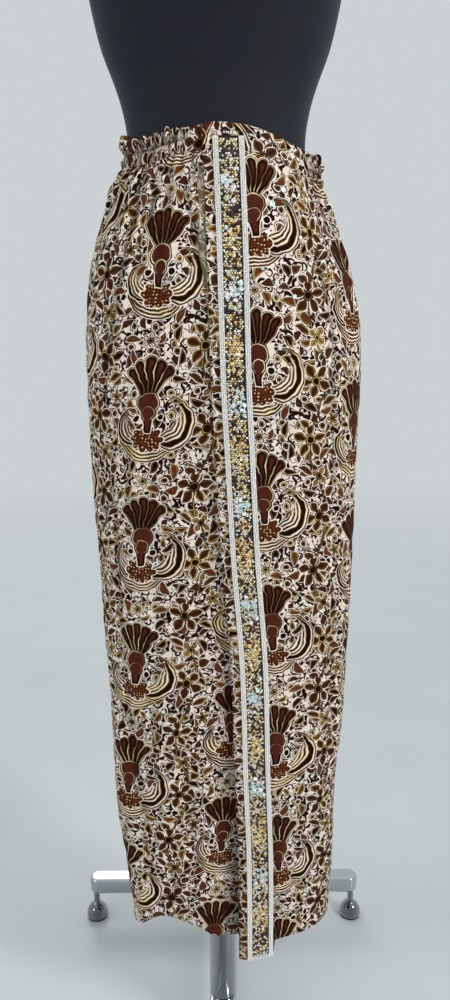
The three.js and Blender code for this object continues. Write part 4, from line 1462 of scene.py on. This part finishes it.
def lay_fill(dye, u, v):
    """The crowd between the motifs: tendrils, dots, curls, sprigs, leaves and berries."""
    vine = noise(point_at(u, v), 0.088, 0.6)
    dye.lay(cover(absolute(vine - 0.5), 0.016, 0.012), DARK)
    x, y, own, _ = scattered(u, v, 6.3, 23.1)
    dye.lay(cover(hypot(x, y), 1.15) * cover(own, 0.6, 0.05), DARK)
    dye.lay(cover(strewn_curl(u, v, 13.0, 5.3, 3.0, 0.95), 0.0), DARK)
    dye.lay(cover(strewn_curl(u, v, 20.0, 77.7, 4.8, 1.4), 0.0), DARK)
    shape, other = strewn_sprig(u, v, 19.0, 41.3, 8.0, 4.6)
    dye.lay(cover(shape, 0.2) * cover(other, 0.5, 0.05), DARK)
    shape, other = strewn_leaf(u, v, 18.5, 51.7, 13.6, 6.8, 0.06)
    dye.outlined(shape, BROWN, 0.6, 1.0)
    dye.gild(cover(absolute(shape + 1.3), 0.35) * cover(other, 0.45, 0.05))
    x, y, *_ = scattered(u, v, 23.0, 7.1)
    berry = hypot(x, y)
    dye.lay(cover(berry, 5.4), DARK)
    dye.lay(cover(berry, 4.5), CREAM)
    dye.lay(cover(berry, 3.4), DARK)
    dye.gild(cover(absolute(berry - 2.2), 0.4))
    shape, other = strewn_leaf(u, v, 24.0, 11.9, 18.0, 8.3, 0.04)
    dye.outlined(shape, DARK, 0.7, 1.0, 0.7)
    dye.lay(cover(shape, -2.2) * cover(other, 0.6, 0.05), RUST)


def lay_garland(dye, x, y):
    """A winding stem with a leaf to each side in turn."""
    beside = x + math_node("SINE", y * (math.tau / DROP)) * 11.0 - 4.0
    dye.lay(cover(absolute(beside), 1.5), DARK)
    dye.gild(cover(absolute(beside), 0.4))
    step = DROP / 6
    index = math_node("FLOOR", y / step)
    side = math_node("FLOORED_MODULO", index, 2.0) * 2.0 - 1.0
    along, across = seen_from(beside * side, y - (index + 0.5) * step, 10.5, 1.0, 34.0)
    shape = leaf(along, across + along * along * 0.02, 18.0, 8.8)
    dye.outlined(shape, BROWN, 1.0, 1.0, 0.6)


def lay_flower(dye, x, y, petals, length, width, inner, body):
    """Petals with a painted rim and a dark vein each, round a dark middle with a gold ring."""
    shape, radius, beside = flower(x, y, petals, length, width, inner)
    dye.outlined(shape, body, 1.1, 0.9, 0.6)
    dye.lay(cover(shape, -2.6) * cover(beside, 0.4), DARK)
    dye.lay(cover(radius, inner + 1.8), DARK)
    dye.gild(cover(absolute(radius - inner - 0.3), 0.45))


def lay_wing(dye, shape, edge, share, bold):
    """Feathers in cream with a painted line inside a dark one, and one bold dark feather among them."""
    dye.lay(cover(shape, 1.5), CREAM)
    dye.lay(cover(shape, 0.8), DARK)
    inside = cover(shape, -0.3)
    dye.lay(inside * cover(edge * -1.0, -0.8), PALE_GOLD)
    dye.gild(inside * cover(absolute(edge - 1.05), 0.3))
    dye.lay(inside * cover(edge * -1.0, -1.4), CREAM)
    dye.lay(cover(shape, 0.4) * cover(absolute(share - bold), 0.08, 0.03), DARK)


def lay_fan(dye, x, y, u, v):
    """Fan, its two scallops, the stem, and the dotted, scalloped body it grows from."""
    fingers = fan(x, y + 14.0)
    petals = absolute(math_node("SINE", math_node("ARCTAN2", x, y + 54.0) * 5.0))
    body = hypot(x / 1.3, y + 54.0) - petals * 3.6 - 11.0
    stem = most(absolute(x) + y * -0.16 - 9.4, absolute(y + 34.0) - 11.0)
    first = hypot(x / 0.95, y + 13.5) - 12.0
    second = hypot(x / 0.95, y + 25.0) - 8.0
    whole = least(fingers, stem, first, second)
    dye.lay(cover(body, 1.2), CREAM)
    dye.lay(cover(body, 0.0), BROWN)
    dots_x, dots_y, own, _ = scattered(u, v, 3.6, 31.3)
    dot = hypot(dots_x, dots_y)
    dye.lay(cover(body, -0.6) * cover(dot, 1.25), RUST)
    dye.lay(cover(body, -0.6) * cover(dot, 0.7) * cover(own, 0.6, 0.05), PALE_GOLD)
    dye.lay(cover(whole, 2.6), CREAM)
    dye.lay(cover(whole, 1.5), DARK)
    dye.gild(cover(absolute(fingers - 0.2), 0.45), PALE_GOLD)
    dye.lay(cover(fingers, -3.2, 2.2), WINE)
    for shape in (first, second):
        dye.lay(cover(shape, 0.9), DARK)
        dye.gild(cover(absolute(shape + 0.5), 0.5), PALE_GOLD)
        dye.lay(cover(shape, -1.2), WINE)
    dye.lay(cover(stem, -1.0), WINE)


# Each wing: its side, where it starts, then what wing() takes. The last number is the share of the way
# across where its bold feather stands, or 2 for none.
WINGS = (
    (1, 0.0, -40.0, -90.0, 80.0, 33.0, 0.0, 12.0, 3.0, 2.0),
    (-1, 9.0, -41.0, -25.0, 100.0, 17.0, 5.0, 16.0, 4.0, 0.95),
    (1, 16.0, -38.0, -22.0, 108.0, 23.0, 8.5, 23.0, 5.0, 0.7),
)


def lay_motif(dye, x, y, u, v):
    """One whole fan with its wings, the feathers beneath it, and a pair of berries."""
    for side, at_x, at_y, *shape, bold in WINGS:
        outward = x * -1.0 if side < 0 else x
        lay_wing(dye, *wing(*seen_from(outward, y, at_x, at_y), *shape), bold)
    berry = hypot(absolute(x) - 13.5, y + 31.0)
    dye.lay(cover(berry, 4.6), CREAM)
    dye.lay(cover(berry, 3.6), DARK)
    lay_fan(dye, x, y, u, v)


print("column", COLUMN, "mm, drop", DROP, "mm")

# %% The batik itself
def cloth_measure():
    """Where a point lies on the flat cloth, across and up, in millimetres."""
    uv = add_node("ShaderNodeUVMap", {}, uv_map="cloth")
    axes = add_node("ShaderNodeSeparateXYZ", {0: uv.outputs[0]})
    return Field(axes.outputs[0]) * 1000.0, Field(axes.outputs[1]) * 1000.0


def repeat(u, v, shift):
    """Where a point lies in the repeat: every other column stands half a drop higher."""
    column = math_node("FLOOR", (u + shift) / COLUMN)
    x = u + shift - (column + 0.5) * COLUMN
    lifted = v - math_node("FLOORED_MODULO", column, 2.0) * (DROP / 2) + 92.0
    return x, math_node("FLOORED_MODULO", lifted, DROP) - 92.0


# Each flower: where it stands across and up, its turn, then what lay_flower() takes. The small ones
# stand with the fans, half a column on.
FLOWERS = (
    (-6.0, 47.0, 12.0, 5.0, 16.5, 10.0, 4.4, BROWN),
    (2.0, -41.0, 40.0, 5.0, 16.0, 10.5, 4.2, BROWN),
    (4.0, 5.0, 30.0, 4.0, 9.5, 7.0, 2.6, OCHRE),
)
SMALL_FLOWERS = (
    (-2.0, 53.0, 0, 5.0, 7.5, 6.5, 2.0, "E6DCC8"),
    (-39.0, -8.0, 25.0, 5.0, 6.5, 5.5, 2.4, OCHRE),
)


def batik_material():
    material, shader = new_material("batik_cotton")
    u, v = cloth_measure()
    spot = point_at(u, v)
    hand = add_node("ShaderNodeTexNoise", {"Vector": spot, "Scale": 0.05, "Detail": 2.0})
    shake = add_node("ShaderNodeSeparateColor", {0: hand.outputs["Color"]})
    u2 = u + (Field(shake.outputs[0]) - 0.5) * 9.0
    v2 = v + (Field(shake.outputs[1]) - 0.5) * 9.0
    gilded = cover(1.0 - noise(spot, 0.025, 2.0), 0.48, 0.1)

    dye = Print(blend(linear(CREAM), linear("E2D6CA"), noise(spot, 0.03, 3.0)), gilded)
    lay_fill(dye, u2, v2)
    x, y = repeat(u2, v2, 0.0)
    lay_garland(dye, x, y)
    for at_x, at_y, turn, *shape in FLOWERS:
        lay_flower(dye, *seen_from(x, y, at_x, at_y, turn), *shape)
    x, y = repeat(u2, v2, COLUMN / 2)
    for at_x, at_y, turn, *shape in SMALL_FLOWERS:
        lay_flower(dye, *seen_from(x, y, at_x, at_y, turn), *shape)
    lay_motif(dye, x, y, u2, v2)

    side = Field(add_node("ShaderNodeAttribute", {}, attribute_name="wrong_side").outputs["Fac"])
    tight = Field(add_node("ShaderNodeAttribute", {}, attribute_name="tight").outputs["Fac"])
    faded = blend(dye.colour, linear("7B735C"), side * 0.65)
    # Painted shade: the colour darkens towards DARK where the cloth lies deep in a fold, pinch or groove.
    with_painted_shade = blend(faded, linear(DARK), tight * 0.7)
    gold = dye.gold * (1.0 - side)
    warp = math_node("SINE", u * (math.tau / 0.55))
    weft = math_node("SINE", v * (math.tau / 0.60))
    slub = noise(point_at(u * 0.15, v), 0.9, 2.0)
    feed(shader.inputs["Base Color"], with_painted_shade)
    feed(shader.inputs["Metallic"], gold * 0.45)
    feed(shader.inputs["Roughness"], 0.85 - gold * 0.42 + (slub - 0.5) * 0.15)
    feed(shader.inputs["Normal"], bump(warp * weft * 0.5 + slub * 0.6, 0.00022, 0.6))
    shader.inputs["Sheen Weight"].default_value = 0.01
    shader.inputs["Sheen Roughness"].default_value = 0.5
    shader.inputs["Specular IOR Level"].default_value = 0.03
    return material


batik = batik_material()
print("batik:", len(batik.node_tree.nodes), "nodes")

# %% [markdown]
# ## The other finishes
#
# Pearl-white beads have a clear skin over a milky body. The coloured ones are glass with a foil inside,
# so they are partly metal. The form's flocking is almost black and only shows a soft, dusty sheen where
# it turns away. The chrome is bright, with fine rubbing marks that blur its reflections a little, and its
# colour carries a painted reflection: dark where it faces the eye, pale where it turns away.

# %% Beads, tape, flocking, chrome and rubber
def object_spot():
    return add_node("ShaderNodeTexCoord", {}).outputs["Object"]


def bead_material(name, metal, rough):
    material, shader = new_material(name)
    tint = add_node("ShaderNodeAttribute", {}, attribute_name="tint").outputs["Color"]
    cloud = noise(object_spot(), 900.0, 2.0)
    feed(shader.inputs["Base Color"], blend(tint, linear("FFFFFF"), cloud * 0.04))
    feed(shader.inputs["Roughness"], cloud * 0.22 + rough)
    shader.inputs["Metallic"].default_value = metal
    shader.inputs["Coat Weight"].default_value = 0.3
    shader.inputs["Coat Roughness"].default_value = 0.08
    return material


def tape_material():
    material, shader = new_material("cotton_tape")
    u, v = cloth_measure()
    twill = math_node("SINE", (u + v) * (math.tau / 1.1))
    dirt = noise(point_at(u, v), 0.12, 3.0)
    middle = cover(absolute(u - (LEAD_STRIP + BAND_WIDTH / 2)), BAND_WIDTH / 2 - ROPE_WIDTH)
    plain = blend(linear("F4F1EE"), linear("D8D0C8"), dirt)
    feed(shader.inputs["Base Color"], blend(plain, linear("1E120A"), middle))
    feed(shader.inputs["Roughness"], 0.8 + twill * 0.05)
    feed(shader.inputs["Normal"], bump(twill, 0.0002))
    return material


def flock_material():
    material, shader = new_material("dark_flocking")
    spot = object_spot()
    lint = cover(1.0 - noise(spot, 480.0, 1.0), 0.205, 0.02)
    patch = noise(spot, 6.0, 3.0)
    dark = blend(linear("0B0D15"), linear("141824"), patch)
    feed(shader.inputs["Base Color"], blend(dark, linear("5A5F6A"), lint * 0.3))
    feed(shader.inputs["Roughness"], patch * 0.12 + 0.66)
    feed(shader.inputs["Normal"], bump(noise(spot, 1400.0, 2.0), 0.0004, 0.5))
    shader.inputs["Sheen Weight"].default_value = 0.18
    shader.inputs["Sheen Roughness"].default_value = 0.5
    shader.inputs["Sheen Tint"].default_value = linear("AEB6C6")
    shader.inputs["Specular IOR Level"].default_value = 0.25
    return material


def chrome_material(name, painted_reflection_code):
    material, shader = new_material(name)
    spot = object_spot()
    axes = add_node("ShaderNodeSeparateXYZ", {0: spot})
    x, y, z = (Field(axes.outputs[i]) for i in range(3))
    marks = noise(point_at(x * 900.0, y * 900.0, z * 60.0), 1.0, 3.0)
    smear = noise(spot, 28.0, 3.0)
    pits = cover(1.0 - noise(spot, 420.0, 2.0), 0.29, 0.02)
    # Painted reflection: the colour is dark where the chrome faces the eye and pale where it turns away.
    painted_reflection_mask = Field(add_node("ShaderNodeLayerWeight", {"Blend": 0.35}).outputs["Facing"])
    bright = blend(linear(painted_reflection_code), linear("DDE0E2"), painted_reflection_mask * 0.9 + smear * 0.2)
    feed(shader.inputs["Base Color"], blend(bright, linear("5B564F"), pits * 0.7))
    feed(shader.inputs["Roughness"], marks * 0.10 + smear * 0.10 + pits * 0.3)
    feed(shader.inputs["Normal"], bump(marks, 0.00003, 0.5))
    shader.inputs["Metallic"].default_value = 1.0
    return material


def thread_material():
    material, shader = new_material("dark_thread")
    strand = noise(object_spot(), 1500.0, 2.0)
    feed(shader.inputs["Base Color"], blend(linear("2A1A14"), linear("5B4636"), strand))
    feed(shader.inputs["Roughness"], strand * 0.2 + 0.5)
    feed(shader.inputs["Normal"], bump(strand, 0.0001))
    return material


def rubber_material():
    material, shader = new_material("grey_rubber")
    spot = object_spot()
    dust = noise(spot, 60.0, 4.0)
    feed(shader.inputs["Base Color"], blend(linear("151515"), linear("4A4A48"), dust * 0.6))
    feed(shader.inputs["Roughness"], dust * 0.2 + 0.65)
    feed(shader.inputs["Normal"], bump(noise(spot, 700.0, 2.0), 0.0002, 0.6))
    return material


white_beads = bead_material("pearl_beads", 0.0, 0.08)
colour_beads = bead_material("foiled_beads", 0.35, 0.10)
cotton_tape = tape_material()
flocking = flock_material()
# The round parts get a darker painted reflection where they face the eye.
chrome = chrome_material("rubbed_chrome", "A9AEB1")
chrome_darker_reflection = chrome_material("rubbed_chrome_darker_reflection", "3E4143")
rubber = rubber_material()
thread = thread_material()
print("finishes:", len(bpy.data.materials))

# %% [markdown]
# ## Putting the finishes on, and hiding the solids
#
# A piece made over a solid stands in for it, and the solid is hidden; every piece takes its finish
# and rides on the one body the part has. The area of one face of each cloth is printed: cotton hardly
# stretches.

# %% Pieces and solids
def dress(piece, material, slot, *nodes):
    piece.data.materials.append(material)
    if nodes:
        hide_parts(*nodes)
    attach(piece, "root")


dress(under_panel, batik, "batik_cloth", "under_panel")
dress(wrap_panel, batik, "batik_cloth", "wrap_panel")
dress(back_panel, batik, "batik_cloth", "back_panel")
dress(waist_under, batik, "batik_cloth", "waistband_under")
dress(waist_front, batik, "batik_cloth", "waistband_front")
dress(waist_back, batik, "batik_cloth", "waistband_back")
dress(tape, cotton_tape, "band_tape", "band_tape")
dress(rope_left, white_beads, "white_beads", "band_edging_left")
dress(rope_right, white_beads, "white_beads", "band_edging_right")
dress(band_end, white_beads, "white_beads")
dress(field, colour_beads, "gold_beads", "band_bead_field")
dress(sequin_work, colour_beads, "gold_beads")
dress(strays, colour_beads, "gold_beads")
dress(edge_turning, batik, "batik_cloth")
dress(hem_thread, thread, "batik_cloth")
dress(waist_thread, thread, "batik_cloth")
dress(dress_form, flocking, "form_cover", "form_torso")
dress(neck_cap, flocking, "form_cover", "neck_cap")
dress(pole, chrome_darker_reflection, "chrome", "pole")
dress(flange, chrome_darker_reflection, "chrome", "pole_flange")
dress(spine_bar, chrome, "chrome", "spine")
for bar, place in zip(crossbars, ("front", "rear")):
    dress(bar, chrome, "chrome", f"crossbar_{place}")
for glide, pad in zip(glides, pads):
    where = glide.name.replace("bell_glide_", "")
    dress(glide, chrome_darker_reflection, "chrome", f"glide_{where}")
    dress(pad, rubber, "glide_rubber", f"glide_pad_{where}")

for cloth in (under_panel, wrap_panel, back_panel, waist_under, waist_front, waist_back, tape, edge_turning):
    print(cloth.name, "one face:", round(sum(p.area for p in cloth.data.polygons) / 2, 4), "square metres")

# %% [markdown]
# ## Floor and light
#
# A pale floor and a pale, even surround, as in a bright room. The floor fades into the surround's own
# colour a few metres out, so that no horizon crosses behind the skirt. One large soft light hangs in
# front and above, and two weaker ones lift the sides.

# %% Floor, surround and lamps
WALL = (0.60, 0.635, 0.65)
FLOOR_SIDES, FLOOR_RADII = 96, (0.001, 2500, 9000, 40000)


def make_floor():
    angle = np.linspace(0, math.tau, FLOOR_SIDES + 1)[:-1]
    points, faces = [], []
    for r in FLOOR_RADII:
        points += [(r * math.cos(a), r * math.sin(a), 0.0) for a in angle]
    for k in range(len(FLOOR_RADII) - 1):
        inner, outer = k * FLOOR_SIDES, (k + 1) * FLOOR_SIDES
        for s in range(FLOOR_SIDES):
            t = (s + 1) % FLOOR_SIDES
            faces.append((inner + s, outer + s, outer + t, inner + t))
    mesh = bpy.data.meshes.new("floor")
    mesh.from_pydata(np.array(points) * MM, [], faces)
    floor = bpy.data.objects.new("floor", mesh)
    bpy.context.scene.collection.objects.link(floor)
    material, shader = new_material("pale_floor")
    spot = object_spot()
    axes = add_node("ShaderNodeSeparateXYZ", {0: spot})
    distance = hypot(Field(axes.outputs[0]), Field(axes.outputs[1]))
    far = math_node("SMOOTH_MIN", (distance - 1.5) / 3.0, 1.0, 0.1, clamp=True)
    mottle = noise(spot, 3.0, 3.0)
    near = blend(linear("C4C9CA"), linear("B6BBBC"), mottle)
    feed(shader.inputs["Base Color"], blend(near, (0.0, 0.0, 0.0, 1.0), far))
    feed(shader.inputs["Emission Color"], (*WALL, 1.0))
    feed(shader.inputs["Emission Strength"], far)
    feed(shader.inputs["Roughness"], 0.32 + mottle * 0.1 + far * 0.5)
    feed(shader.inputs["Specular IOR Level"], (1.0 - far) * 0.35)
    floor.data.materials.append(material)


def lamp(name, place, aim, size, power, colour=(1, 1, 1)):
    data = bpy.data.lights.new(name, "AREA")
    data.shape = "DISK"
    data.size, data.energy, data.color = size, power, colour
    obj = bpy.data.objects.new(name, data)
    direction = np.array(aim, float) - np.array(place, float)
    obj.rotation_euler = Vector(direction).to_track_quat("-Z", "Y").to_euler()
    obj.location = place
    bpy.context.scene.collection.objects.link(obj)


def make_surround():
    world = bpy.data.worlds.new("surround")
    bpy.context.scene.world = world
    world.use_nodes = True
    Field.tree = world.node_tree
    Field.tree.nodes.clear()
    heading = add_node("ShaderNodeTexCoord", {}).outputs["Generated"]
    up = Field(add_node("ShaderNodeSeparateXYZ", {0: heading}).outputs[2])
    above = math_node("SMOOTH_MIN", (up - 0.45) / 0.4, 1.0, 0.1, clamp=True)
    level = 1.0 + above * 0.3
    background = add_node("ShaderNodeBackground", {"Color": (*WALL, 1.0), "Strength": level})
    add_node("ShaderNodeOutputWorld", {0: background.outputs[0]})


make_floor()
make_surround()
lamp("key", (2.3, -2.0, 2.7), (0, 0, 0.75), 0.7, 58)
lamp("window", (-2.4, -1.9, 1.9), (0, 0, 0.7), 1.2, 15)
lamp("rear", (-0.8, 2.6, 2.6), (0, 0, 0.9), 1.6, 20)
